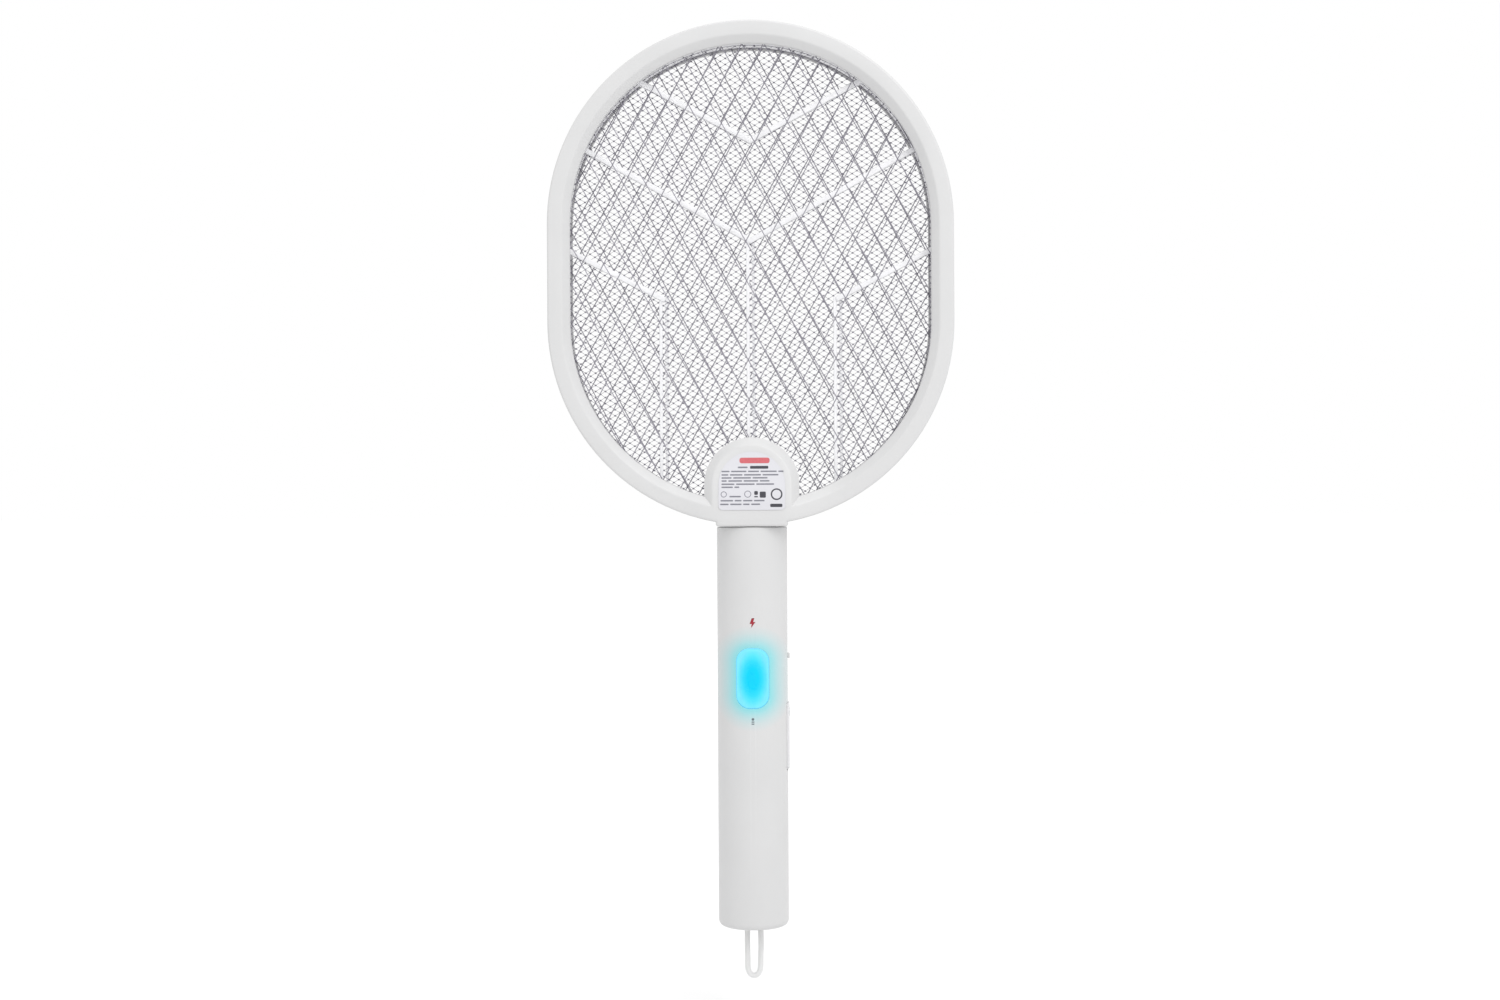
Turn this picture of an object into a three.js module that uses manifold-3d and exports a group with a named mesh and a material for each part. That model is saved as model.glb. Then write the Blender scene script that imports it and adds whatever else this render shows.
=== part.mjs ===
// Electric fly swatter: an obround head with three wire meshes, on a round handle.
// Millimetres. +Z runs from the hanging loop up to the head, the front faces -Y and the
// origin is at the middle of the grip, on the handle's axis.
import * as THREE from 'three';
import { mergeVertices } from 'three/addons/utils/BufferGeometryUtils.js';
import Module from 'manifold-3d';

const wasm = await Module();
wasm.setup();

// Driving dimensions
const CLEAR = 0.3;              // gap between neighbouring pieces
const HALF_CLEAR = CLEAR / 2;

const HANDLE_R = 17.5;          // round grip
const HANDLE_INNER_R = 15.3;
const HANDLE_BOTTOM = -100;
const HANDLE_TOP = 98;
const WALL = 2.4;               // end walls of the handle

const HEAD_BOTTOM = 99.5;       // lowest point of the ring
const HEAD_R = 101;             // outer radius of both round ends
const HEAD_STRAIGHT = 48;       // straight side between the round ends
const HEAD_MID = HEAD_BOTTOM + HEAD_R + HEAD_STRAIGHT / 2;
const RING_DEPTH = 12;          // half the ring's thickness
const FACE_R = 93.5;            // inner edge of the flat face
const WINDOW_R = 89.5;          // inner edge of the ring
const BEVEL_DEPTH = 2.8;
const RIM_OUTER_R = 98.4;       // outer edge of the meshes and their spacers
const RIM_INNER_R = 90.4;
const LIP_Y = 6.9;              // back of the lip that holds each outer mesh
const LIP_STEP_R = 91.3;
const LIP_STEP_Y = 8.2;
const CHANNEL_INNER_R = 94.2;   // hollow behind the ring's face
const CHANNEL_OUTER_R = 98.8;
const RING_WALL = 2;
const RING_CHAMFER = 1.2;
const RING_SEGMENTS = 42;       // 4k + 2, so that the straight side falls inside one segment

const BOSS_HALF = 23.5;         // arched boss over the neck, bevel included
const BOSS_FLAT_HALF = 19.5;
const BOSS_ARC_Z = 119;
const BOSS_BASE_Z = 104;
const NECK_HALF = 18.25;
const NECK_BOTTOM = 99;
const NECK_TOP = 112;           // the neck block ends inside the boss
const NECK_SWELL = 6.2;         // how far the neck stands proud of the ring's faces
const SWELL_LOW = 103;          // the swell fades upwards from here
const SWELL_HIGH = 141;
const SWELL_NEAR = 15;          // and sideways from here
const SWELL_FAR = 46;
const CAVITY_HALF = 20.3;       // arched hollow inside the boss
const CAVITY_BASE = 103;
const SPIGOT_BORE_R = 9.4;
const NECK_CAVITY_R = 13;

const RIB_HALF = 1.3;           // half width of the web's ribs
const RIB_NEAR = 0.5;           // from the centre mesh out to the rib's face
const RIB_FAR = 2.3;
const WEB_FAR = 5.6;            // outer face of the web's rim
const SCREW_PASSAGE_R = 2.9;    // holes that let the head's screws through the meshes
const PILOT_R = 1.4;
const SHANK_HOLE_R = 1.5;

const MESH_THICK = 0.7;
const MESH_Y = 6.25;            // middle plane of the front and rear meshes
const CENTRE_THICK = 0.4;
const WIRE = 1.2;
const COARSE_PITCH_X = 32.7;    // three times the real diamonds, to keep the sheets simple
const COARSE_PITCH_Z = 58.8;
const CENTRE_PITCH_X = 58.3;    // twelve times the real diamonds
const CENTRE_PITCH_Z = 36.6;

const BUTTON_Z = 23.7;
const BUTTON_WIDTH = 16;
const BUTTON_HEIGHT = 29.7;
const BUTTON_CORNER = 6.6;
const BUTTON_R = 17.9;          // its face follows the grip, a little proud

const INDICATOR_Z = 51;
const PCB_FRONT = 2;
const PCB_BACK = 3.6;
const USB_Z = -6;
const SLIDER_Z = 33.8;
const SLIDER_TRAVEL = 4;
const COVER_LOW = -22.4;
const COVER_HIGH = 10.4;
const COVER_HALF = 4.5;
const COVER_INNER_R = 16.6;      // the cover is an arc strip in the grip's wall
const COVER_OUTER_R = 18.3;
const KNOB_HALF_WIDTH = 1;
const KNOB_HALF_LENGTH = 1.3;
const KNOB_TIP_X = 18.6;

const BATTERY_R = 9.1;
const BATTERY_LOW = -89;
const BATTERY_LENGTH = 65;

const LEAD_R = 0.7;
const LEAD_SIDES = 6;
const LOOP_R = 1.4;
const LOOP_SIDES = 8;
const LOOP_STEPS = 30;

const LABEL_HALF = 16.4;
const LABEL_BASE_Z = 106.6;
const LABEL_LIFT = 0.45;        // middle of the film, in front of the ring's face

const SCREW_SHANK_R = 1.1;
const SCREW_HEAD_R = 2.3;
const HEAD_SCREW_SEAT = 9.6;    // depth behind the middle plane where a head rests
const HEAD_SCREW_TIP = -8.5;
const HANDLE_SCREW_SEAT = 9;
const HANDLE_SCREW_TIP = -8.4;
const HANDLE_SCREWS = [[-10.5, 82], [10.5, 82], [0, -19.8]];
const HEAD_SCREW_ANGLES = [35, 90, 145, 200, 250, 290, 340];
const HEAD_SCREW_R = 96.2;

// Shared making
function merged(geometry) {
  const bare = new THREE.BufferGeometry();
  bare.setAttribute('position', geometry.getAttribute('position').clone());
  if (geometry.index) bare.setIndex(geometry.index.clone());
  return mergeVertices(bare, 1e-4);
}

function signedVolume(geometry) {
  const p = geometry.getAttribute('position');
  const index = geometry.index.array;
  const a = new THREE.Vector3();
  const b = new THREE.Vector3();
  const c = new THREE.Vector3();
  let volume = 0;
  for (let i = 0; i < index.length; i += 3) {
    a.fromBufferAttribute(p, index[i]);
    b.fromBufferAttribute(p, index[i + 1]);
    c.fromBufferAttribute(p, index[i + 2]);
    volume += a.dot(b.cross(c)) / 6;
  }
  return volume;
}

function isRealTriangle(i, j, k) {
  return i !== j && j !== k && k !== i;
}

function outward(geometry) {
  const clean = merged(geometry);
  const source = clean.index.array;
  const flip = signedVolume(clean) < 0;
  const kept = [];
  for (let i = 0; i < source.length; i += 3) {
    const [a, b, c] = [source[i], source[i + 1], source[i + 2]];
    if (isRealTriangle(a, b, c)) kept.push(...(flip ? [a, c, b] : [a, b, c]));
  }
  clean.setIndex(kept);
  return clean;
}

function solid(geometry) {
  const clean = outward(geometry);
  const mesh = new wasm.Mesh({
    numProp: 3,
    vertProperties: new Float32Array(clean.getAttribute('position').array),
    triVerts: new Uint32Array(clean.index.array),
  });
  return new wasm.Manifold(mesh);
}

function shapeOf(body) {
  const mesh = body.getMesh();
  const geometry = new THREE.BufferGeometry();
  const stride = mesh.numProp;
  const count = mesh.vertProperties.length / stride;
  const xyz = new Float32Array(count * 3);
  for (let i = 0; i < count; i++) {
    for (let k = 0; k < 3; k++) xyz[i * 3 + k] = mesh.vertProperties[i * stride + k];
  }
  geometry.setAttribute('position', new THREE.BufferAttribute(xyz, 3));
  geometry.setIndex(Array.from(mesh.triVerts));
  return geometry;
}

function join(...geometries) {
  return shapeOf(geometries.map(solid).reduce((sum, next) => sum.add(next)));
}

function cut(geometry, ...tools) {
  return shapeOf(tools.map(solid).reduce((rest, tool) => rest.subtract(tool), solid(geometry)));
}

function common(a, b) {
  return shapeOf(solid(a).intersect(solid(b)));
}

function box(x0, x1, y0, y1, z0, z1) {
  const geometry = new THREE.BoxGeometry(x1 - x0, y1 - y0, z1 - z0);
  return geometry.translate((x0 + x1) / 2, (y0 + y1) / 2, (z0 + z1) / 2);
}

// A solid or ring turned about the Z axis, from [radius, z] points.
function turned(points, segments = 32) {
  const profile = points.map(([r, z]) => new THREE.Vector2(r, z));
  return outward(new THREE.LatheGeometry(profile, segments).rotateX(Math.PI / 2));
}

function turnedRing(points, segments = 32) {
  return turned([...points, points[0]], segments);
}

// A pin along Y from y0 to y1.
function pinY(radius, x, y0, y1, z, sides = 10) {
  const geometry = new THREE.CylinderGeometry(radius, radius, y1 - y0, sides);
  return geometry.translate(x, (y0 + y1) / 2, z);
}

// A flat outline drawn in X and Z, made solid between two Y planes.
function slab(shape, y0, y1, curveSegments = 12) {
  const options = { depth: y1 - y0, bevelEnabled: false, curveSegments };
  return new THREE.ExtrudeGeometry(shape, options).rotateX(Math.PI / 2).translate(0, y1, 0);
}

function roundedRect(width, height, radius, z) {
  const shape = new THREE.Shape();
  const x = width / 2 - radius;
  const y = height / 2 - radius;
  shape.absarc(x, z - y, radius, -Math.PI / 2, 0);
  shape.absarc(x, z + y, radius, 0, Math.PI / 2);
  shape.absarc(-x, z + y, radius, Math.PI / 2, Math.PI);
  shape.absarc(-x, z - y, radius, Math.PI, 1.5 * Math.PI);
  shape.closePath();
  return shape;
}

// A closed [radius, y] profile swept round the head: a ring about Y, then drawn out along Z.
function headRing(points) {
  const profile = [...points, points[0]].map(([r, y]) => new THREE.Vector2(r, y));
  const geometry = outward(new THREE.LatheGeometry(profile, RING_SEGMENTS));
  return drawnOut(geometry);
}

function drawnOut(geometry) {
  const p = geometry.getAttribute('position');
  for (let i = 0; i < p.count; i++) {
    const side = Math.sign(p.getZ(i));
    p.setZ(i, HEAD_MID + p.getZ(i) + side * HEAD_STRAIGHT / 2);
  }
  return geometry;
}

function archShape(half, base) {
  const shape = new THREE.Shape();
  shape.moveTo(-half, base);
  shape.lineTo(half, base);
  shape.absarc(0, BOSS_ARC_Z, half, 0, Math.PI);
  shape.closePath();
  return shape;
}

function headOutline(radius) {
  const shape = new THREE.Shape();
  shape.absarc(0, HEAD_MID - HEAD_STRAIGHT / 2, radius, Math.PI, 2 * Math.PI);
  shape.absarc(0, HEAD_MID + HEAD_STRAIGHT / 2, radius, 0, Math.PI);
  shape.closePath();
  return shape;
}

// Where a point of the obround centreline at this radius and angle lies.
function onHead(radius, degrees) {
  const a = THREE.MathUtils.degToRad(degrees);
  const z = radius * Math.sin(a);
  return [radius * Math.cos(a), HEAD_MID + z + Math.sign(Math.round(z)) * HEAD_STRAIGHT / 2];
}

function headScrewPlaces() {
  return HEAD_SCREW_ANGLES.map((angle) => onHead(HEAD_SCREW_R, angle));
}

function screwHoles(radius, y0, y1) {
  return headScrewPlaces().map(([x, z]) => pinY(radius, x, y0, y1, z, 8));
}

// Splits every edge longer than `longest` inside a region, on both of its triangles alike.
function refined(geometry, longest, inRegion) {
  const p = Array.from(geometry.getAttribute('position').array);
  let index = Array.from(geometry.index.array);
  let busy = true;
  while (busy) {
    busy = false;
    const middles = new Map();
    const middleOf = (i, j) => {
      const key = i < j ? `${i},${j}` : `${j},${i}`;
      if (middles.has(key)) return middles.get(key);
      const a = p.slice(i * 3, i * 3 + 3);
      const b = p.slice(j * 3, j * 3 + 3);
      const m = a.map((v, k) => (v + b[k]) / 2);
      const long = Math.hypot(a[0] - b[0], a[2] - b[2]) > longest;
      const split = long && (inRegion(a) || inRegion(b) || inRegion(m));
      const made = split ? p.length / 3 : -1;
      if (split) p.push(...m);
      middles.set(key, made);
      return made;
    };
    const next = [];
    for (let t = 0; t < index.length; t += 3) {
      const corners = index.slice(t, t + 3);
      const mids = corners.map((v, k) => middleOf(v, corners[(k + 1) % 3]));
      const count = mids.filter((m) => m >= 0).length;
      if (count > 0) busy = true;
      next.push(...splitTriangle(corners, mids, count));
    }
    index = next;
  }
  const made = new THREE.BufferGeometry();
  made.setAttribute('position', new THREE.BufferAttribute(new Float32Array(p), 3));
  made.setIndex(index);
  return made;
}

// The triangles that replace one whose edges a-b, b-c, c-a have these middles (-1: none).
function splitTriangle([a, b, c], [ab, bc, ca], count) {
  if (count === 0) return [a, b, c];
  if (count === 3) return [a, ab, ca, ab, b, bc, ca, bc, c, ab, bc, ca];
  if (count === 1) {
    if (ab >= 0) return [a, ab, c, ab, b, c];
    if (bc >= 0) return [a, b, bc, a, bc, c];
    return [a, b, ca, ca, b, c];
  }
  if (ab < 0) return [a, b, bc, a, bc, ca, ca, bc, c];
  if (bc < 0) return [a, ab, ca, ab, b, ca, b, c, ca];
  return [a, ab, c, ab, bc, c, ab, b, bc];
}

// The head's shells
const smooth = THREE.MathUtils.smoothstep;

function neckSwell(x, y, z) {
  const up = 1 - smooth(z, SWELL_LOW, SWELL_HIGH);
  const across = 1 - smooth(Math.abs(x), SWELL_NEAR, SWELL_FAR);
  const deep = smooth(Math.abs(y), 7, 9.2);
  return NECK_SWELL * up * across * deep;
}

function swollen(geometry) {
  const byNeck = ([x, y, z]) => Math.abs(x) < SWELL_FAR - 2 && Math.abs(y) > 9 && z < SWELL_HIGH - 2;
  const fine = refined(geometry, 12, byNeck);
  const p = fine.getAttribute('position');
  for (let i = 0; i < p.count; i++) {
    const y = p.getY(i);
    p.setY(i, y - neckSwell(p.getX(i), y, p.getZ(i)));
  }
  return fine;
}

function bossBlock() {
  const options = {
    depth: RING_DEPTH,
    bevelSize: BOSS_HALF - BOSS_FLAT_HALF,
    bevelThickness: BEVEL_DEPTH,
    bevelSegments: 1,
    curveSegments: 12,
  };
  const base = BOSS_BASE_Z + options.bevelSize;
  const block = new THREE.ExtrudeGeometry(archShape(BOSS_FLAT_HALF, base), options);
  return block.rotateX(Math.PI / 2).translate(0, BEVEL_DEPTH, 0);
}

function neckBlock() {
  const chamfer = 1.4;
  const shape = new THREE.Shape();
  const half = NECK_HALF - chamfer;
  shape.moveTo(-half, NECK_BOTTOM + chamfer);
  shape.lineTo(half, NECK_BOTTOM + chamfer);
  shape.lineTo(half, NECK_TOP);
  shape.lineTo(-half, NECK_TOP);
  shape.closePath();
  const options = { depth: RING_DEPTH, bevelSize: chamfer, bevelThickness: chamfer, bevelSegments: 2 };
  const block = new THREE.ExtrudeGeometry(shape, options);
  return block.rotateX(Math.PI / 2).translate(0, chamfer, 0);
}

// One half of the head's housing, made as the front one: outer wall, face, bevel and lip.
function headShell() {
  const channel = headRing([
    [HEAD_R, -HALF_CLEAR], [HEAD_R, RING_CHAMFER - RING_DEPTH],
    [HEAD_R - RING_CHAMFER, -RING_DEPTH], [FACE_R, -RING_DEPTH],
    [WINDOW_R, BEVEL_DEPTH - RING_DEPTH], [WINDOW_R, -LIP_Y], [LIP_STEP_R, -LIP_Y],
    [LIP_STEP_R, -LIP_STEP_Y], [CHANNEL_INNER_R, RING_WALL - RING_DEPTH],
    [CHANNEL_OUTER_R, RING_WALL - RING_DEPTH], [CHANNEL_OUTER_R, -HALF_CLEAR],
  ]);
  const posts = headScrewPlaces().flatMap(([x, z]) => [
    pinY(2.5, x, 1 - RING_DEPTH, -HALF_CLEAR, z),
    pinY(3.8, x, 1 - RING_DEPTH, -7.3, z),
  ]);
  const front = box(-130, 130, -40, -HALF_CLEAR, 0, 400);
  const bulk = common(join(channel, bossBlock(), neckBlock()), front);
  const hollow = cut(
    bulk,
    slab(archShape(CAVITY_HALF, CAVITY_BASE), -9.4, 1, 10),
    turned([[0, 98], [SPIGOT_BORE_R, 98], [SPIGOT_BORE_R, 101.8], [0, 101.8]]),
    turned([[0, 101.7], [NECK_CAVITY_R, 101.7], [NECK_CAVITY_R, NECK_TOP], [0, NECK_TOP]]),
  );
  return swollen(posts.reduce((shell, post) => join(shell, post), hollow));
}

function wireWay(y, side) {
  return pinY(1.2, 0, 17, 28, 0, 10).rotateZ(-Math.PI / 2 * side).translate(0, y, 109);
}

function headFrontFrame() {
  return cut(headShell(), ...screwHoles(PILOT_R, -9.5, 1), wireWay(-5, 1), wireWay(-1.6, -1));
}

function headRearFrame() {
  const shell = outward(headShell().scale(1, -1, 1));
  return cut(
    shell,
    ...screwHoles(SHANK_HOLE_R, -1, 20),
    ...screwHoles(2.6, 9, 20),
    wireWay(5, 1),
    wireWay(1.6, -1),
  );
}

// The meshes and what holds them apart
const bossNotch = () => slab(archShape(BOSS_HALF + 0.4, 90), -20, 20, 10);

// A straight wire that crosses the whole head through (x, HEAD_MID), leaning by `lean` radians.
function wire(x, y, thickness, lean) {
  const bar = box(-WIRE / 2, WIRE / 2, -thickness / 2, thickness / 2, -170, 170);
  return bar.rotateY(lean).translate(x, y, HEAD_MID);
}

function border(y0, y1, width) {
  const outer = slab(archShape(BOSS_HALF + width, BOSS_BASE_Z), y0, y1, 10);
  return cut(outer, bossNotch());
}

function spacerRim(y0, y1) {
  return headRing([[RIM_OUTER_R, y0], [RIM_OUTER_R, y1], [RIM_INNER_R, y1], [RIM_INNER_R, y0]]);
}

// A sheet of diamond mesh in a solid rim, at a wider pitch than the real surface has.
function meshSheet(y, thickness, pitchX, pitchZ) {
  const lean = Math.atan2(pitchX, pitchZ);
  const reach = Math.ceil((100 + 130 * Math.tan(lean)) / pitchX);
  const wires = [];
  for (let k = -reach; k <= reach; k++) {
    wires.push(wire(k * pitchX, y, thickness, lean), wire(k * pitchX, y, thickness, -lean));
  }
  const [y0, y1] = [y - thickness / 2, y + thickness / 2];
  const outline = slab(headOutline(RIM_INNER_R + 3), -20, 20, 16);
  const lattice = common(join(...wires, border(y0, y1, 3)), outline);
  const holes = screwHoles(SCREW_PASSAGE_R, -20, 20);
  return cut(join(spacerRim(y0, y1), lattice), bossNotch(), ...holes);
}

function rib(x0, z0, x1, z1, y0, y1) {
  const length = Math.hypot(x1 - x0, z1 - z0);
  const bar = box(-RIB_HALF, RIB_HALF, y0, y1, -0.6, length + 0.6);
  return bar.rotateY(Math.atan2(x1 - x0, z1 - z0)).translate(x0, 0, z0);
}

const RIB_LINES = [
  [0, 291, -60, 323], [0, 291, 60, 323], [0, 241, -92, 292], [0, 241, 92, 292],
  [-43.5, 212, -93, 238], [43.5, 212, 93, 238], [0, 242, 0, 141],
  [-43.5, 213, -43.5, 116], [43.5, 213, 43.5, 116],
];

// The insulating web in front of the centre mesh: a spacer rim crossed by thin ribs.
function ribWebFront() {
  const ribs = RIB_LINES.map((line) => rib(...line, -RIB_FAR, -RIB_NEAR));
  const outline = slab(headOutline(RIM_INNER_R + 3), -20, 20, 16);
  const web = common(join(...ribs, border(-RIB_FAR, -RIB_NEAR, 2.4)), outline);
  const holes = screwHoles(SCREW_PASSAGE_R, -20, 20);
  return cut(join(spacerRim(-WEB_FAR, -RIB_NEAR), web), bossNotch(), ...holes);
}

function ribWebRear() {
  const mirrored = outward(ribWebFront().scale(1, -1, 1));
  return cut(mirrored, box(-36, -20, 0.2, 3, 98, 113));
}

// The swivel between handle and head
function swivelSpigot() {
  return turnedRing([
    [9.1, 90.8], [14.8, 90.8], [14.8, 95.1], [9.1, 95.1], [9.1, 102.4], [12.4, 102.4],
    [12.4, 105.4], [9.1, 105.4], [9.1, 108], [6.6, 108], [6.6, 90.8],
  ], 24);
}

function swivelWasher() {
  return turnedRing([[9.6, 97.5], [14.2, 97.5], [14.2, 98.7], [9.6, 98.7]], 24);
}

// The handle's shells
function handleBody() {
  const outer = turned([
    [0, HANDLE_BOTTOM], [14.6, HANDLE_BOTTOM], [16.3, -99.4], [17.2, -98.2], [HANDLE_R, -96.6],
    [HANDLE_R, 97.4], [17, HANDLE_TOP], [0, HANDLE_TOP],
  ], 40);
  const loopSlot = roundedRect(11, 4.2, 2.05, 0);
  const slot = new THREE.ExtrudeGeometry(loopSlot, { depth: 10, bevelEnabled: false, curveSegments: 6 });
  const coverPocket = cut(
    box(12, 20, -4.9, 4.9, COVER_LOW - 1, COVER_HIGH + 0.4),
    turned([[0, -40], [16.3, -40], [16.3, 40], [0, 40]], 40),
  );
  return cut(
    outer,
    turned([
      [0, HANDLE_BOTTOM + WALL], [HANDLE_INNER_R, HANDLE_BOTTOM + WALL],
      [HANDLE_INNER_R, HANDLE_TOP - 2.6], [0, HANDLE_TOP - 2.6],
    ], 28),
    turned([[0, 90], [SPIGOT_BORE_R, 90], [SPIGOT_BORE_R, 110], [0, 110]]),
    turned([[0, 97.2], [14.5, 97.2], [14.5, 110], [0, 110]]),
    slot.translate(0, 0, -104),
    coverPocket,
    box(13, 18, -1.9, 1.9, USB_Z - 4.9, USB_Z + 4.9),
    box(13, 20, -1.3, 1.3, SLIDER_Z - 1.9, SLIDER_Z + 1.9 + SLIDER_TRAVEL),
  );
}

function boltShape(z, grow) {
  const shape = new THREE.Shape();
  const g = 1 + grow;
  shape.moveTo(-1.2 * g, z - 0.35 * g);
  shape.lineTo(-0.35 * g, z - 0.35 * g);
  shape.lineTo(-0.6 * g, z - 2 * g);
  shape.lineTo(1.2 * g, z + 0.45 * g);
  shape.lineTo(0.3 * g, z + 0.45 * g);
  shape.lineTo(0.75 * g, z + 2 * g);
  shape.lineTo(-0.3 * g, z + 2 * g);
  shape.closePath();
  return shape;
}

function handleFrontShell() {
  const half = common(handleBody(), box(-40, 40, -40, -HALF_CLEAR, -200, 200));
  const posts = HANDLE_SCREWS.map(([x, z]) => pinY(2.8, x, x ? -11.5 : -15.5, -HALF_CLEAR, z));
  const window = roundedRect(BUTTON_WIDTH + 2 * CLEAR, BUTTON_HEIGHT + 2 * CLEAR, BUTTON_CORNER, BUTTON_Z);
  return cut(
    posts.reduce((shell, post) => join(shell, post), half),
    slab(window, -30, -9, 8),
    slab(boltShape(INDICATOR_Z, 0.35), -30, -9),
    ...HANDLE_SCREWS.map(([x, z]) => pinY(PILOT_R, x, -9.5, 5, z, 12)),
  );
}

function handleRearShell() {
  const half = common(handleBody(), box(-40, 40, HALF_CLEAR, 40, -200, 200));
  const posts = HANDLE_SCREWS.map(([x, z]) => pinY(3.4, x, HALF_CLEAR, x ? 12 : 15.8, z));
  return cut(
    posts.reduce((shell, post) => join(shell, post), half),
    ...HANDLE_SCREWS.map(([x, z]) => pinY(SHANK_HOLE_R, x, -5, 30, z, 12)),
    ...HANDLE_SCREWS.map(([x, z]) => pinY(2.7, x, 8.5, 30, z)),
  );
}

// A pan-headed screw along Y, its head at the back, with a recess for the driver.
function screw(x, z, headY, tipY) {
  const shank = pinY(SCREW_SHANK_R, x, tipY, headY, z, 8);
  const head = pinY(SCREW_HEAD_R, x, headY - 0.2, headY + 1.8, z, 14);
  const slotA = box(x - 1.3, x + 1.3, headY + 1, headY + 3, z - 0.3, z + 0.3);
  const slotB = box(x - 0.3, x + 0.3, headY + 1, headY + 3, z - 1.3, z + 1.3);
  return cut(join(shank, head), join(slotA, slotB));
}

// Controls
function powerButton() {
  const face = roundedRect(BUTTON_WIDTH, BUTTON_HEIGHT, BUTTON_CORNER - CLEAR, BUTTON_Z);
  const crown = turned([[0, 0], [BUTTON_R, 0], [BUTTON_R, 50], [0, 50]], 40);
  const cap = common(slab(face, -20, -11.2, 8), crown);
  const flange = roundedRect(17.6, 31.4, BUTTON_CORNER, BUTTON_Z);
  return join(cap, slab(flange, -12, -10.8, 8), pinY(2.2, 0, -11.2, -4, BUTTON_Z));
}

function tactSwitch() {
  const body = box(-3, 3, -1.8, PCB_FRONT - CLEAR, BUTTON_Z - 3, BUTTON_Z + 3);
  return cut(body, pinY(1.9, 0, -3, 0.2, BUTTON_Z));
}

function roundLed(z, tip) {
  const profile = [[0, 0], [1.9, 0], [1.9, 1], [1.5, 1], [1.5, 3.4], [1.1, 4.4], [0, 4.9]];
  return turned(profile, 16).rotateX(Math.PI / 2).translate(0, tip + 4.9, z);
}

function slideKnob() {
  const low = SLIDER_Z - KNOB_HALF_LENGTH;
  const high = SLIDER_Z + KNOB_HALF_LENGTH;
  const nub = box(15, KNOB_TIP_X, -KNOB_HALF_WIDTH, KNOB_HALF_WIDTH, low, high);
  return join(nub, box(13, 15.1, -0.9, 0.9, SLIDER_Z - 0.9, SLIDER_Z + 0.9));
}

function slideSwitchBody() {
  return cut(
    box(8.4, 13.9, -2.4, 1.7, SLIDER_Z - 5, SLIDER_Z + 8),
    box(12.4, 20, -1.3, 1.3, SLIDER_Z - 1.6, SLIDER_Z + 1.6 + SLIDER_TRAVEL),
  );
}

// The charging port
function portCover() {
  const strip = turnedRing([
    [COVER_INNER_R, COVER_LOW], [COVER_OUTER_R, COVER_LOW],
    [COVER_OUTER_R, COVER_HIGH], [COVER_INNER_R, COVER_HIGH],
  ], 96);
  return common(strip, box(10, 20, -COVER_HALF, COVER_HALF, -30, 20));
}

function usbSocket() {
  const shell = box(7.4, 14.6, -1.5, PCB_FRONT - CLEAR, USB_Z - 4.5, USB_Z + 4.5);
  const mouth = box(8.6, 20, -1.2, 1.4, USB_Z - 4.2, USB_Z + 4.2);
  return join(cut(shell, mouth), box(8, 13.8, -0.3, 0.5, USB_Z - 3.2, USB_Z + 3.2));
}

// Electronics on and around the board
function boardShape() {
  const board = box(-12, 12, PCB_FRONT, PCB_BACK, -14.6, 77);
  return cut(board, ...HANDLE_SCREWS.map(([x, z]) => pinY(3.9, x, 0, 6, z)));
}

function transformer() {
  const core = box(-7, 7, PCB_BACK + CLEAR, 12, 46, 60);
  const bobbin = box(-5, 5, PCB_BACK + 1.5, 11, 44.4, 61.6);
  return join(core, bobbin);
}

function filmCapacitor(x0, x1, z0, z1) {
  return box(x0, x1, PCB_BACK + CLEAR, 10.4, z0, z1);
}

function diode(z) {
  const radius = 1.3;
  const body = new THREE.CylinderGeometry(radius, radius, 7, 12).rotateZ(Math.PI / 2);
  return body.translate(0, PCB_FRONT - CLEAR - radius, z);
}

function batteryCell() {
  const z0 = BATTERY_LOW;
  const z1 = BATTERY_LOW + BATTERY_LENGTH;
  return turned([
    [0, z0], [BATTERY_R - 0.4, z0], [BATTERY_R, z0 + 0.4], [BATTERY_R, z1 - 2.4],
    [BATTERY_R - 0.4, z1 - 1.6], [4, z1 - 1.6], [3.6, z1], [0, z1],
  ], 32);
}

function batteryCradle() {
  const wall = turnedRing([[9.5, -90.6], [11.2, -90.6], [11.2, -23.2], [9.5, -23.2]], 40);
  return common(wall, box(-20, 20, 1.5, 20, -100, 0));
}

function batteryTab(z) {
  return turned([[0, z], [4.2, z], [4.2, z + 0.3], [0, z + 0.3]], 20);
}

// Flexible pieces: a round section carried along a smooth curve.
function tube(points, radius, sides, steps) {
  const section = new THREE.Shape();
  for (let i = 0; i < sides; i++) {
    const a = i / sides * 2 * Math.PI;
    const [x, y] = [radius * Math.cos(a), radius * Math.sin(a)];
    if (i) section.lineTo(x, y);
    else section.moveTo(x, y);
  }
  section.closePath();
  const extrudePath = new THREE.CatmullRomCurve3(points.map((p) => new THREE.Vector3(...p)));
  return outward(new THREE.ExtrudeGeometry(section, { steps, extrudePath }));
}

// The hanging loop leaves the handle's end, turns round at the bottom and goes back in.
const LOOP_ROUTE = [
  [-3.2, 0, -94.3], [-3.2, 0, -97.5], [-3.25, 0, -101], [-3.3, 0, -105], [-3.35, 0, -109],
  [-3.3, 0, -113], [-3.2, 0, -117], [-3.2, 0, -120.4], [-3.05, 0, -122.8], [-2.35, 0, -124.7],
  [-1.25, 0, -125.8], [0, 0, -126.1], [1.25, 0, -125.8], [2.35, 0, -124.7], [3.05, 0, -122.8],
  [3.25, 0, -120.4], [3.3, 0, -117], [3.45, 0, -113], [3.5, 0, -109], [3.4, 0, -105],
  [3.25, 0, -101], [3.2, 0, -97.5], [3.2, 0, -94.3],
];

function loopAnchor() {
  return box(-8, 8, -1.6, 1.6, -93.9, -91.6);
}

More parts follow.
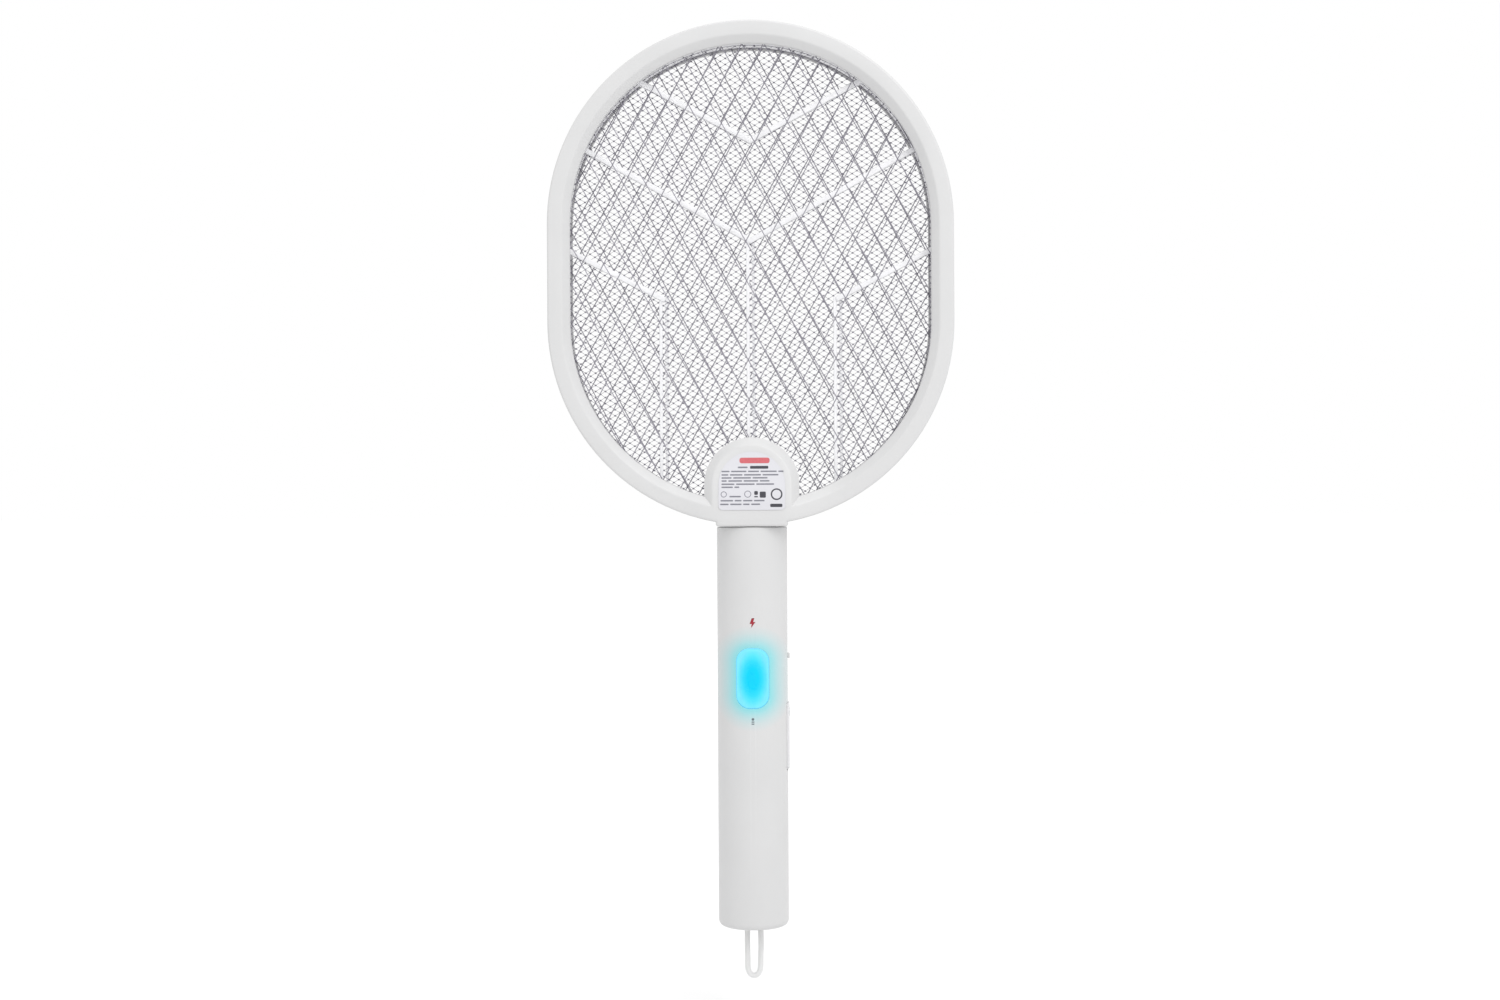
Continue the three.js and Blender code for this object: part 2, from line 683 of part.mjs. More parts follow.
function ratingLabel() {
  const sticker = slab(archShape(LABEL_HALF, LABEL_BASE_Z), -0.1, 0.1, 8);
  const fine = refined(outward(sticker), 9, () => true);
  const p = fine.getAttribute('position');
  for (let i = 0; i < p.count; i++) {
    const y = -RING_DEPTH - LABEL_LIFT + p.getY(i);
    p.setY(i, y - neckSwell(p.getX(i), RING_DEPTH, p.getZ(i)));
  }
  return fine;
}

// Assembly
const swatter = new THREE.Group();
const handle = new THREE.Group();
const head = new THREE.Group();
swatter.add(handle, head);

const FINISHES = {
  white: [0xe9e9ea, 0.42, 0],
  web: [0xf2f2f4, 0.5, 0],
  steel: [0x9a9a9e, 0.35, 1],
  fastener: [0xb8b8bc, 0.3, 1],
  brass: [0xc8a04a, 0.35, 1],
  label: [0xf3f2f8, 0.35, 0],
  button: [0x20d5fb, 0.25, 0],
  rubber: [0xe2e3e5, 0.7, 0],
  acetal: [0xd8d8d4, 0.4, 0],
  board: [0x1f6b3a, 0.5, 0],
  black: [0x1b1b1d, 0.5, 0],
  red: [0xc8283c, 0.4, 0],
  yellow: [0xd8b23c, 0.45, 0],
  blue: [0x2f6fb5, 0.4, 0],
  lens: [0xeaf6fa, 0.15, 0],
  cord: [0xdededf, 0.85, 0],
};

function add(parent, name, finish, geometry) {
  const [color, roughness, metalness] = FINISHES[finish];
  const shape = outward(geometry);
  shape.computeVertexNormals();
  const mesh = new THREE.Mesh(shape, new THREE.MeshStandardMaterial({ color, roughness, metalness }));
  mesh.name = name;
  parent.add(mesh);
}

function addHead() {
  add(head, 'head_front_frame', 'white', headFrontFrame());
  add(head, 'head_rear_frame', 'white', headRearFrame());
  add(head, 'rib_web_front', 'web', ribWebFront());
  add(head, 'rib_web_rear', 'web', ribWebRear());
  add(head, 'front_mesh', 'steel', meshSheet(-MESH_Y, MESH_THICK, COARSE_PITCH_X, COARSE_PITCH_Z));
  add(head, 'centre_mesh', 'steel', meshSheet(0, CENTRE_THICK, CENTRE_PITCH_X, CENTRE_PITCH_Z));
  add(head, 'rear_mesh', 'steel', meshSheet(MESH_Y, MESH_THICK, COARSE_PITCH_X, COARSE_PITCH_Z));
  add(head, 'rating_label', 'label', ratingLabel());
  add(head, 'front_mesh_terminal', 'brass', box(24.6, 29.6, -7.4, -6.9, 107, 111));
  add(head, 'rear_mesh_terminal', 'brass', box(24.6, 29.6, 6.9, 7.4, 107, 111));
  add(head, 'centre_mesh_terminal', 'brass', box(-30, -24.6, 0.5, 1, 107, 111));
  headScrewPlaces().forEach(([x, z], i) => {
    add(head, `head_screw_${i + 1}`, 'fastener', screw(x, z, HEAD_SCREW_SEAT, HEAD_SCREW_TIP));
  });
}

// Each lead's finish, its steps and the points that it follows.
const HEAD_LEADS = {
  front_mesh_lead: ['red', 12, [
    [23.6, -5, 109], [16, -5, 109], [10, -4, 113], [4.5, -2, 114], [2.6, 0, 109],
    [2.4, 0, 100], [2.4, 0, 93.2],
  ]],
  rear_mesh_lead: ['red', 12, [
    [23.6, 5, 109], [16, 5, 109], [10, 4, 113], [4.5, 4, 114], [1, 3.2, 109],
    [0.6, 2.6, 100], [0.6, 2.6, 93.2],
  ]],
  centre_mesh_lead: ['black', 12, [
    [-23.6, 1.6, 109], [-16, 1.6, 109], [-9, 1.4, 113], [-4, 0.6, 114], [-2.2, 0, 109],
    [-2.2, 0, 100], [-2.2, 0, 93.2],
  ]],
};

const HANDLE_LEADS = {
  output_lead_outer: ['red', 8, [
    [2.4, 0, 92.8], [2.4, 0, 87], [3, 0.2, 82], [4, 0.3, 76], [4, 0.3, 69],
  ]],
  output_lead_centre: ['black', 8, [
    [-2.2, 0, 92.8], [-2.2, 0, 87], [-3, 0.2, 82], [-4, 0.3, 76], [-4, 0.3, 69],
  ]],
  battery_lead_positive: ['red', 6, [
    [12.2, 0, -20], [13, 0, -24], [13.2, 0, -27], [12.6, 0.2, -30],
  ]],
  battery_lead_negative: ['black', 8, [
    [-12.2, 0, -20], [-13, 0, -30], [-13.2, 0, -60], [-12.6, 0, -88],
  ]],
};

function addLeads(parent, leads) {
  for (const [name, [finish, steps, points]] of Object.entries(leads)) {
    add(parent, name, finish, tube(points, LEAD_R, LEAD_SIDES, steps));
  }
}

function addHandle() {
  add(handle, 'handle_front_shell', 'white', handleFrontShell());
  add(handle, 'handle_rear_shell', 'white', handleRearShell());
  add(handle, 'swivel_spigot', 'acetal', swivelSpigot());
  add(handle, 'swivel_washer', 'black', swivelWasher());
  add(handle, 'power_button', 'button', powerButton());
  add(handle, 'switch_plunger', 'black', pinY(1.6, 0, -3.7, -2.1, BUTTON_Z));
  add(handle, 'tact_switch', 'black', tactSwitch());
  add(handle, 'button_led_upper', 'lens', roundLed(BUTTON_Z + 9.5, -3.6));
  add(handle, 'button_led_lower', 'lens', roundLed(BUTTON_Z - 9.5, -3.6));
  add(handle, 'indicator_window', 'red', slab(boltShape(INDICATOR_Z, 0), -17.5, -14.9));
  add(handle, 'indicator_led', 'lens', roundLed(INDICATOR_Z, -3.6));
  add(handle, 'slide_switch_knob', 'rubber', slideKnob());
  add(handle, 'slide_switch_body', 'black', slideSwitchBody());
  add(handle, 'port_cover', 'rubber', portCover());
  add(handle, 'usb_socket', 'fastener', usbSocket());
  HANDLE_SCREWS.forEach(([x, z], i) => {
    add(handle, `handle_screw_${i + 1}`, 'fastener', screw(x, z, HANDLE_SCREW_SEAT, HANDLE_SCREW_TIP));
  });
}

function addElectronics() {
  add(handle, 'main_board', 'board', boardShape());
  add(handle, 'step_up_transformer', 'yellow', transformer());
  add(handle, 'storage_capacitor', 'blue', filmCapacitor(-7, 7, 24, 38));
  add(handle, 'driver_transistor', 'black', filmCapacitor(-4, 4, 4, 12));
  [56.5, 60.5, 64.5].forEach((z, i) => {
    add(handle, `multiplier_diode_${i + 1}`, 'black', diode(z));
  });
  add(handle, 'battery_cell', 'blue', batteryCell());
  add(handle, 'battery_cradle', 'black', batteryCradle());
  add(handle, 'battery_tab_upper', 'fastener', batteryTab(-23.7));
  add(handle, 'battery_tab_lower', 'fastener', batteryTab(-89.6));
}

function addLoop() {
  add(handle, 'loop_anchor', 'acetal', loopAnchor());
  add(handle, 'hanging_loop', 'cord', tube(LOOP_ROUTE, LOOP_R, LOOP_SIDES, LOOP_STEPS));
}

addHead();
addHandle();
addElectronics();
addLeads(head, HEAD_LEADS);
addLeads(handle, HANDLE_LEADS);
addLoop();

export default swatter;
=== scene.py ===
import math

import bpy
import numpy as np
from mathutils import Matrix, Vector


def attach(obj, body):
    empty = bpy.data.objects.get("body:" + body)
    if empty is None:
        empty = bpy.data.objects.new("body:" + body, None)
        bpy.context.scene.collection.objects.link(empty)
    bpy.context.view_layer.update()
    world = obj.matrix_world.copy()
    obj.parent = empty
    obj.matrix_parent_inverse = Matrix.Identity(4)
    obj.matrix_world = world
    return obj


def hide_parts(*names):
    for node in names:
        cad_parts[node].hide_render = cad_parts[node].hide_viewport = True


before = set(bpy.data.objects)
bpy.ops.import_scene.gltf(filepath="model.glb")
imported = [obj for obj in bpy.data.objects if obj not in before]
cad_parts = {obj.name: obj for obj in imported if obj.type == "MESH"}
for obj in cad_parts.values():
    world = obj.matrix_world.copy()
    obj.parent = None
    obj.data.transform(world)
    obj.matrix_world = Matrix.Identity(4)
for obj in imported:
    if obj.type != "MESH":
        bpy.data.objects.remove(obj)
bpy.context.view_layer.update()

bl_info = {
    "name": "Electric fly swatter",
    "version": (1, 0, 0),
    "blender": (4, 5, 0),
    "location": "View3D > Sidebar > Swatter",
    "description": "Builds the visible surfaces of a battery fly swatter round its packed frame",
    "category": "Mesh",
}

MM = 0.001
FRONT = -1
REAR = 1
PARTING = 0.08 * MM  # half of the gap between the head's two halves
BUTTON_GAP = 0.35 * MM
HANDLE_SCREWS_MM = [(-10.5, 82), (10.5, 82), (0, -19.8)]
HEAD_SCREW_SEAT = 9.6 * MM
LABEL_SURFACE = -12.26 * MM


def length(name, description, default):
    return bpy.props.FloatProperty(
        name=name, description=description, default=default, unit="LENGTH", precision=5
    )


def colour(name, description, default):
    return bpy.props.FloatVectorProperty(
        name=name, description=description, default=default, subtype="COLOR", size=3, min=0, max=1
    )


class HeadSizes(bpy.types.PropertyGroup):
    outer_radius: length("Outer radius", "Radius of the head's two round ends", 100.7 * MM)
    straight: length("Straight side", "Distance between the centres of the round ends", 48.6 * MM)
    bottom: length("Bottom", "Height of the ring's lowest point", 99.1 * MM)
    depth: length("Half depth", "Half the thickness of the ring", 12 * MM)
    face_radius: length("Face radius", "Inner edge of the flat face", 93.5 * MM)
    window_radius: length("Window radius", "Inner edge of the ring", 89.5 * MM)
    bevel_depth: length("Bevel depth", "How deep the inner bevel goes", 2.8 * MM)
    rim_radius: length("Rim radius", "Inner edge of the rims that hold the meshes", 90.4 * MM)
    rim_outer: length("Rim outer radius", "Outer edge of the rims that hold the meshes", 98.4 * MM)
    boss_half: length("Boss half width", "Half width of the arched boss", 23.5 * MM)
    boss_arc: length("Boss arc height", "Height of the boss arc's centre", 119 * MM)
    neck_half: length("Neck half width", "Half width of the neck over the joint", 17.75 * MM)
    neck_bottom: length("Neck bottom", "Height of the neck's lower face", 98.45 * MM)
    neck_swell: length("Neck swell", "How far the neck stands proud of the ring", 6.2 * MM)


class WireSizes(bpy.types.PropertyGroup):
    coarse_width: length("Coarse width", "Width of one outer diamond", 10.9 * MM)
    coarse_height: length("Coarse height", "Height of one outer diamond", 19.65 * MM)
    coarse_radius: length("Coarse wire radius", "Radius of an outer wire", 0.27 * MM)
    fine_width: length("Fine width", "Width of one centre diamond", 4.86 * MM)
    fine_height: length("Fine height", "Height of one centre diamond", 3.05 * MM)
    fine_radius: length("Fine wire radius", "Radius of a centre wire", 0.085 * MM)
    plane: length("Mesh plane", "Distance of the outer meshes from the middle", 6.25 * MM)


class HandleSizes(bpy.types.PropertyGroup):
    radius: length("Radius", "Outer radius of the grip", 17.5 * MM)
    inner_radius: length("Inner radius", "Inner radius of the grip's shells", 15.3 * MM)
    top: length("Top", "Height of the handle's upper face", 98.1 * MM)
    bottom: length("Bottom", "Height of the handle's lower face", -100.6 * MM)
    button_height: length("Button place", "Height of the button's middle", 23.7 * MM)
    button_width: length("Button width", "Width of the button", 15.5 * MM)
    button_length: length("Button length", "Length of the button", 29 * MM)
    button_corner: length("Button corner", "Corner radius of the button", 6.3 * MM)
    button_crown: length("Button crown", "Radius that the button's face follows", 17.9 * MM)
    indicator_height: length("Indicator place", "Height of the indicator", 51 * MM)


class Finishes(bpy.types.PropertyGroup):
    shell: colour("Shell", "Moulded white plastic", (0.553, 0.553, 0.555))
    web: colour("Web", "Insulating web", (0.8, 0.8, 0.815))
    wire: colour("Wire", "Drawn steel wire", (0.31, 0.3, 0.34))
    fine_wire: colour("Fine wire", "Centre mesh wire", (0.22, 0.21, 0.25))
    glow: colour("Glow", "Light of the power button", (0.0, 0.5, 0.78))
    glow_edge: colour("Glow edge", "Light at the button's rim", (0.22, 0.68, 0.92))
    alarm: colour("Indicator", "Light of the bolt indicator", (0.2, 0.006, 0.015))
    ink: colour("Ink", "Grey print", (0.17, 0.17, 0.2))
    accent: colour("Accent", "Red print", (0.5, 0.1, 0.115))
    label: colour("Label", "Printed film", (0.56, 0.558, 0.588))
    cord: colour("Cord", "Braided loop", (0.7, 0.7, 0.7))
    rubber: colour("Rubber", "Pale elastomer", (0.64, 0.64, 0.65))


class StageSettings(bpy.types.PropertyGroup):
    distance: length("Distance", "Distance of the camera from the middle plane", 1.0)
    height: length("Height", "Height of the camera", 111.5 * MM)
    roll: bpy.props.FloatProperty(
        name="Roll", description="Turn of the camera about its view", default=math.radians(0.3),
        subtype="ANGLE",
    )
    lens: bpy.props.FloatProperty(
        name="Lens", description="Focal length in millimetres", default=48.0, min=10, max=200
    )
    key: bpy.props.FloatProperty(
        name="Key lamp", description="Power of the soft lamp in watts", default=23.0, min=0
    )
    top: bpy.props.FloatProperty(
        name="Top lamp", description="Power of the lamp overhead in watts", default=24.0, min=0
    )
    sky: bpy.props.FloatProperty(
        name="Sky", description="Strength of the plain white surroundings", default=1.0, min=0
    )


def head():
    return bpy.context.scene.swatter_head


def wires():
    return bpy.context.scene.swatter_wires


def handle():
    return bpy.context.scene.swatter_handle


def finishes():
    return bpy.context.scene.swatter_finishes


def stage():
    return bpy.context.scene.swatter_stage


# ---------------------------------------------------------------- shared modelling


def deselect_all():
    bpy.ops.object.select_all(action="DESELECT")


def make_active(piece):
    deselect_all()
    piece.select_set(True)
    bpy.context.view_layer.objects.active = piece


def edit(piece, select="SELECT"):
    make_active(piece)
    bpy.ops.object.mode_set(mode="EDIT")
    bpy.ops.mesh.select_mode(type="VERT")
    bpy.ops.mesh.select_all(action=select)


def leave_edit():
    bpy.ops.object.mode_set(mode="OBJECT")


def face_outwards():
    """Ends an edit with every face turned outwards."""
    bpy.ops.mesh.select_all(action="SELECT")
    bpy.ops.mesh.normals_make_consistent(inside=False)
    leave_edit()


def corners_of(piece):
    return np.array([v.co[:] for v in piece.data.vertices])


def place_corners(piece, places):
    piece.data.vertices.foreach_set("co", places.ravel())
    piece.data.update()


def new_piece(name, data):
    piece = bpy.data.objects.new(name, data)
    bpy.context.collection.objects.link(piece)
    return piece


def apply_modifier(piece, kind, **settings):
    modifier = piece.modifiers.new(kind.title(), kind)
    for key, value in settings.items():
        setattr(modifier, key, value)
    make_active(piece)
    bpy.ops.object.modifier_apply(modifier=modifier.name)


def boolean(piece, tool, operation="DIFFERENCE"):
    apply_modifier(piece, "BOOLEAN", object=tool, operation=operation, solver="EXACT")
    bpy.data.objects.remove(tool, do_unlink=True)


def tidy_surface(piece, angle=32, merge=0.004 * MM):
    edit(piece)
    bpy.ops.mesh.remove_doubles(threshold=merge)
    bpy.ops.mesh.normals_make_consistent(inside=False)
    leave_edit()
    make_active(piece)
    bpy.ops.object.shade_smooth_by_angle(angle=math.radians(angle))


def select_only(piece, kind, items, wanted):
    """Selects the piece's faces or edges that satisfy the test, and nothing else."""
    make_active(piece)
    bpy.ops.object.mode_set(mode="EDIT")
    bpy.ops.mesh.select_mode(type=kind)
    bpy.ops.mesh.select_all(action="DESELECT")
    bpy.ops.object.mode_set(mode="OBJECT")
    for item in items:
        item.select = bool(wanted(item))
    bpy.ops.object.mode_set(mode="EDIT")


def bevel_edges(piece, wanted, reach, segments):
    """Bevels the edges whose two ends satisfy the test."""
    corners = piece.data.vertices
    test = lambda edge: wanted(*(corners[i].co for i in edge.vertices))
    select_only(piece, "EDGE", piece.data.edges, test)
    bpy.ops.mesh.bevel(offset=reach, segments=segments, affect="EDGES")
    leave_edit()


def place_in_mesh(piece):
    make_active(piece)
    bpy.ops.object.transform_apply(location=True, rotation=True, scale=True)


def outline(points, fill="NGON"):
    """A closed outline: a circle primitive whose corners are moved to these points."""
    deselect_all()
    bpy.ops.mesh.primitive_circle_add(vertices=len(points), radius=10 * MM, fill_type=fill)
    piece = bpy.context.object
    for vertex, point in zip(piece.data.vertices, points):
        vertex.co = point
    return piece


def extrude(piece, vector):
    edit(piece)
    bpy.ops.mesh.extrude_region_move(TRANSFORM_OT_translate={"value": vector})
    face_outwards()
    return piece


def prism(points_xz, y0, y1):
    """A flat outline in X and Z, made solid from y0 to y1."""
    return extrude(outline([(x, y0, z) for x, z in points_xz]), (0, y1 - y0, 0))


def join(name, pieces):
    make_active(pieces[0])
    for piece in pieces:
        piece.select_set(True)
    if len(pieces) > 1:
        bpy.ops.object.join()
    pieces[0].name = name
    return pieces[0]


def cylinder(radius, depth, centre, axis="Z", vertices=32):
    turn = {"Y": (math.pi / 2, 0, 0), "Z": (0, 0, 0)}[axis]
    deselect_all()
    bpy.ops.mesh.primitive_cylinder_add(
        vertices=vertices, radius=radius, depth=depth, location=centre, rotation=turn
    )
    piece = bpy.context.object
    place_in_mesh(piece)
    return piece


def block(low, high):
    deselect_all()
    bpy.ops.mesh.primitive_cube_add(size=1)
    piece = bpy.context.object
    piece.scale = [b - a for a, b in zip(low, high)]
    piece.location = [(a + b) / 2 for a, b in zip(low, high)]
    place_in_mesh(piece)
    return piece


def arc(cx, cy, radius, start, end, steps):
    angles = np.linspace(math.radians(start), math.radians(end), steps + 1)
    return [(cx + radius * math.cos(a), cy + radius * math.sin(a)) for a in angles]


def round_corners(points, radii, steps=3):
    """A closed outline with each corner replaced by a small curve of the given reach."""
    rounded = []
    count = len(points)
    for i, (corner, reach) in enumerate(zip(points, radii)):
        here = Vector(corner)
        if reach == 0:
            rounded.append(tuple(here))
            continue
        before = here + (Vector(points[i - 1]) - here).normalized() * reach
        after = here + (Vector(points[(i + 1) % count]) - here).normalized() * reach
        for step in range(steps + 1):
            t = step / steps
            point = before * (1 - t) ** 2 + here * 2 * t * (1 - t) + after * t * t
            rounded.append(tuple(point))
    return rounded


def rounded_rect(width, height, radius, cx, cy, steps=10):
    x = width / 2 - radius
    y = height / 2 - radius
    return (
        arc(cx + x, cy - y, radius, -90, 0, steps)
        + arc(cx + x, cy + y, radius, 0, 90, steps)
        + arc(cx - x, cy + y, radius, 90, 180, steps)
        + arc(cx - x, cy - y, radius, 180, 270, steps)
    )


def finish_piece(piece, name, body, material, nodes=()):
    piece.name = name
    piece.data.name = name
    piece.data.materials.clear()
    piece.data.materials.append(material)
    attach(piece, body)
    if nodes:
        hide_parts(*nodes)


def turn_to(run):
    """The matrix that turns the Z axis to this direction."""
    return Vector((0, 0, 1)).rotation_difference(run.normalized()).to_matrix().to_4x4()


def repeat(name, model, matrices):
    """One mesh that holds a copy of the modelled piece at each matrix. The model is removed."""
    corners = np.array([(*v.co, 1) for v in model.data.vertices])
    faces = [tuple(f.vertices) for f in model.data.polygons]
    places = np.array([np.array(m) for m in matrices])
    moved = np.einsum("nij,vj->nvi", places, corners)[:, :, :3]
    count = len(corners)
    all_faces = [tuple(i + n * count for i in face) for n in range(len(places)) for face in faces]
    mesh = bpy.data.meshes.new(name)
    mesh.from_pydata(moved.reshape(-1, 3).tolist(), [], all_faces)
    bpy.data.objects.remove(model, do_unlink=True)
    return new_piece(name, mesh)


# ---------------------------------------------------------------- materials


class Nodes:
    """A short way to write a node material."""

    def __init__(self, name):
        self.material = bpy.data.materials.new(name)
        self.material.use_nodes = True
        self.tree = self.material.node_tree
        self.shader = self.tree.nodes["Principled BSDF"]
        self.coords = self.add("ShaderNodeTexCoord").outputs["Object"]

    def add(self, kind, **settings):
        node = self.tree.nodes.new(kind)
        for key, value in settings.items():
            setattr(node, key, value)
        return node

    def link(self, source, target):
        self.tree.links.new(source, target)

    def feed(self, socket, given):
        """Sets a socket to a number or a colour, or links it to another node."""
        if isinstance(given, tuple):
            socket.default_value = (*given, 1) if len(socket.default_value) == 4 else given
        elif isinstance(given, (int, float)):
            socket.default_value = given
        else:
            self.link(given, socket)

    def value(self, operation, *given):
        node = self.add("ShaderNodeMath", operation=operation)
        for socket, source in zip(node.inputs, given):
            self.feed(socket, source)
        return node.outputs[0]

    def noise(self, scale, detail=3.0, roughness=0.5, coords=None):
        node = self.add("ShaderNodeTexNoise")
        node.inputs["Scale"].default_value = scale
        node.inputs["Detail"].default_value = detail
        node.inputs["Roughness"].default_value = roughness
        self.link(coords or self.coords, node.inputs["Vector"])
        return node.outputs["Fac"]

    def ramp(self, source, stops):
        node = self.add("ShaderNodeValToRGB")
        elements = node.color_ramp.elements
        while len(elements) < len(stops):
            elements.new(0.5)
        for element, (position, shade) in zip(elements, stops):
            element.position = position
            element.color = (*shade, 1)
        self.link(source, node.inputs["Fac"])
        return node.outputs["Color"]

    def mix(self, factor, first, second):
        node = self.add("ShaderNodeMix", data_type="RGBA")
        for index, given in ((0, factor), (6, first), (7, second)):
            self.feed(node.inputs[index], given)
        return node.outputs[2]

    def span(self, source, low, high, to_low, to_high):
        node = self.add("ShaderNodeMapRange")
        for socket, number in zip(list(node.inputs)[1:5], (low, high, to_low, to_high)):
            socket.default_value = number
        self.link(source, node.inputs[0])
        return node.outputs[0]

    def uneven(self, noise, low, high):
        """A number that follows the noise between these two values."""
        return self.span(noise, 0.3, 0.7, low, high)

    def tones(self, noise, base, dark, light):
        """The colour, darker where the noise is low and lighter where it is high."""
        return self.ramp(noise, [(0.3, shaded(base, dark)), (0.7, shaded(base, light))])

    def split(self, source):
        node = self.add("ShaderNodeSeparateXYZ")
        self.link(source, node.inputs[0])
        return node.outputs

    def bump(self, height, strength, distance):
        node = self.add("ShaderNodeBump")
        node.inputs["Strength"].default_value = strength
        node.inputs["Distance"].default_value = distance
        self.link(height, node.inputs["Height"])
        self.link(node.outputs["Normal"], self.shader.inputs["Normal"])

    def set(self, **sockets):
        for key, given in sockets.items():
            self.feed(self.shader.inputs[key.replace("_", " ")], given)


MATERIALS = {}


def once(make):
    """Makes the material of a name at the first call, and hands the same one back after it."""
    def hand_out(name, *settings):
        if name not in MATERIALS:
            MATERIALS[name] = make(name, *settings)
        return MATERIALS[name]
    return hand_out


def mottled(n, base):
    """The faint unevenness of moulded plastic's colour."""
    return n.tones(n.noise(38, 4), base, 0.985, 1.012)


def shaded(base, factor):
    return tuple(min(1.0, c * factor) for c in base)


@once
def moulded(name, base, roughness=0.4, spark=3200, bump=0.12):
    """Moulded plastic: faint mottle, uneven sheen and a fine spark-eroded grain."""
    n = Nodes(name)
    n.set(
        Base_Color=mottled(n, base),
        Roughness=n.uneven(n.noise(160, 3), roughness - 0.04, roughness + 0.05),
    )
    n.bump(n.noise(spark, 2), bump, 0.05 * MM)
    return n.material


@once
def metal(name, base, roughness=0.35, brushed=(1, 1, 1), scale=900):
    """Bright metal: streaks in its tone and its sheen."""
    n = Nodes(name)
    mapping = n.add("ShaderNodeMapping")
    mapping.inputs["Scale"].default_value = brushed
    n.link(n.coords, mapping.inputs["Vector"])
    streaks = n.noise(scale, 4, 0.6, mapping.outputs["Vector"])
    n.set(
        Metallic=1.0,
        Base_Color=n.tones(streaks, base, 0.85, 1.1),
        Roughness=n.uneven(streaks, roughness - 0.06, roughness + 0.1),
    )
    n.bump(streaks, 0.15, 0.03 * MM)
    return n.material


def button_distance(n):
    """How far a point is outside the button's outline, in metres, negative inside."""
    h = handle()
    place = n.split(n.coords)
    across = n.value("ABSOLUTE", place["X"])
    along = n.value("ABSOLUTE", n.value("SUBTRACT", place["Z"], h.button_height))
    half_x = h.button_width / 2 - h.button_corner
    half_z = h.button_length / 2 - h.button_corner
    dx = n.value("MAXIMUM", n.value("SUBTRACT", across, half_x), 0.0)
    dz = n.value("MAXIMUM", n.value("SUBTRACT", along, half_z), 0.0)
    square = n.value("ADD", n.value("MULTIPLY", dx, dx), n.value("MULTIPLY", dz, dz))
    return n.value("SUBTRACT", n.value("SQRT", square), h.button_corner)


def lit_shell():
    """The front shell: white plastic with the button's light painted round its edge, as a cyan tint and a
    faint glow, not cast light.
    """
    n = Nodes("lit_shell")
    # Painted light: near the button the shell's colour turns cyan and glows faintly, fading out over about
    # 11 mm.
    painted_glow = n.ramp(n.span(button_distance(n), -0.5 * MM, 11.5 * MM, 0, 1), [
        (place, (share,) * 3)
        for place, share in ((0.0, 0.82), (0.22, 0.6), (0.45, 0.34), (0.7, 0.14), (1.0, 0.0))
    ])
    n.set(
        Base_Color=n.mix(painted_glow, mottled(n, finishes().shell), (0.08, 0.54, 0.58)),
        Roughness=n.uneven(n.noise(160, 3), 0.36, 0.45),
        Emission_Color=(0.02, 0.3, 0.4),
        Emission_Strength=n.value("MULTIPLY", painted_glow, 0.14),
    )
    n.bump(n.noise(3200, 2), 0.12, 0.05 * MM)
    return n.material


def button_spread(n):
    """How far a point is from the button's middle, 1 at the ends of its width and its length."""
    h = handle()
    place = n.split(n.coords)
    across = n.value("DIVIDE", place["X"], h.button_width / 2)
    along = n.value("SUBTRACT", place["Z"], h.button_height)
    along = n.value("DIVIDE", along, h.button_length / 2)
    square = n.value("ADD", n.value("MULTIPLY", across, across), n.value("MULTIPLY", along, along))
    return n.value("SQRT", square)


def lit_cap():
    """The translucent button, with the light of the LEDs behind it painted on as its own glow: deep cyan in
    the middle and paler towards its rim.
    """
    n = Nodes("lit_cap")
    f = finishes()
    glow = n.ramp(button_spread(n), [
        (0.0, tuple(f.glow)), (0.35, (0.0, 0.52, 0.8)), (0.6, (0.035, 0.58, 0.85)),
        (0.8, (0.11, 0.65, 0.9)), (1.0, tuple(f.glow_edge)),
    ])
    haze = n.noise(420, 3)
    n.set(
        Base_Color=(0.0, 0.14, 0.2),
        Emission_Color=glow,
        Emission_Strength=n.uneven(haze, 0.97, 1.03),
        Roughness=n.uneven(haze, 0.25, 0.35),
        Specular_IOR_Level=0.15,
    )
    n.bump(n.noise(2600, 2), 0.08, 0.04 * MM)
    return n.material


def light_window(name, base, strength):
    """A small window with a light behind it, a little hazy."""
    n = Nodes(name)
    haze = n.noise(900, 2)
    n.set(
        Base_Color=n.tones(haze, base, 0.9, 1.1),
        Emission_Color=tuple(base),
        Emission_Strength=strength,
        Roughness=0.3,
    )
    return n.material


def braid(base):
    """A round braided cord: crossing strands with painted shade between them and painted light on their
    crowns, a soft sheen and loose fibres.
    """
    n = Nodes("braided_cord")
    uv = n.add("ShaderNodeUVMap", uv_map="cord")
    shades = []
    for lean in (1, -1):
        across, along, _ = n.split(uv.outputs[0])
        phase = n.value("ADD", across, n.value("MULTIPLY", along, lean))
        shades.append(n.value("SINE", n.value("MULTIPLY", phase, 2 * math.pi)))
    weave = n.value("MAXIMUM", shades[0], shades[1])
    fibres = n.noise(3000, 4, 0.7)
    height = n.value("ADD", n.value("MULTIPLY", weave, 0.6), n.value("MULTIPLY", fibres, 0.5))
    # Painted shade and light: the colour is darker where the weave is low, between the strands, and lighter
    # on the strands' crowns; the loose fibres add an uneven tone of their own.
    n.set(
        Base_Color=n.ramp(n.span(height, -0.4, 1.1, 0, 1), [
            (0.0, shaded(base, 0.62)), (0.5, shaded(base, 0.95)), (1.0, shaded(base, 1.12)),
        ]),
        Roughness=0.85,
        Sheen_Weight=0.35,
        Sheen_Roughness=0.5,
    )
    n.bump(height, 0.6, 0.15 * MM)
    return n.material


# ---------------------------------------------------------------- the head's housing


def lower_centre():
    return head().bottom + head().outer_radius


def upper_centre():
    return lower_centre() + head().straight


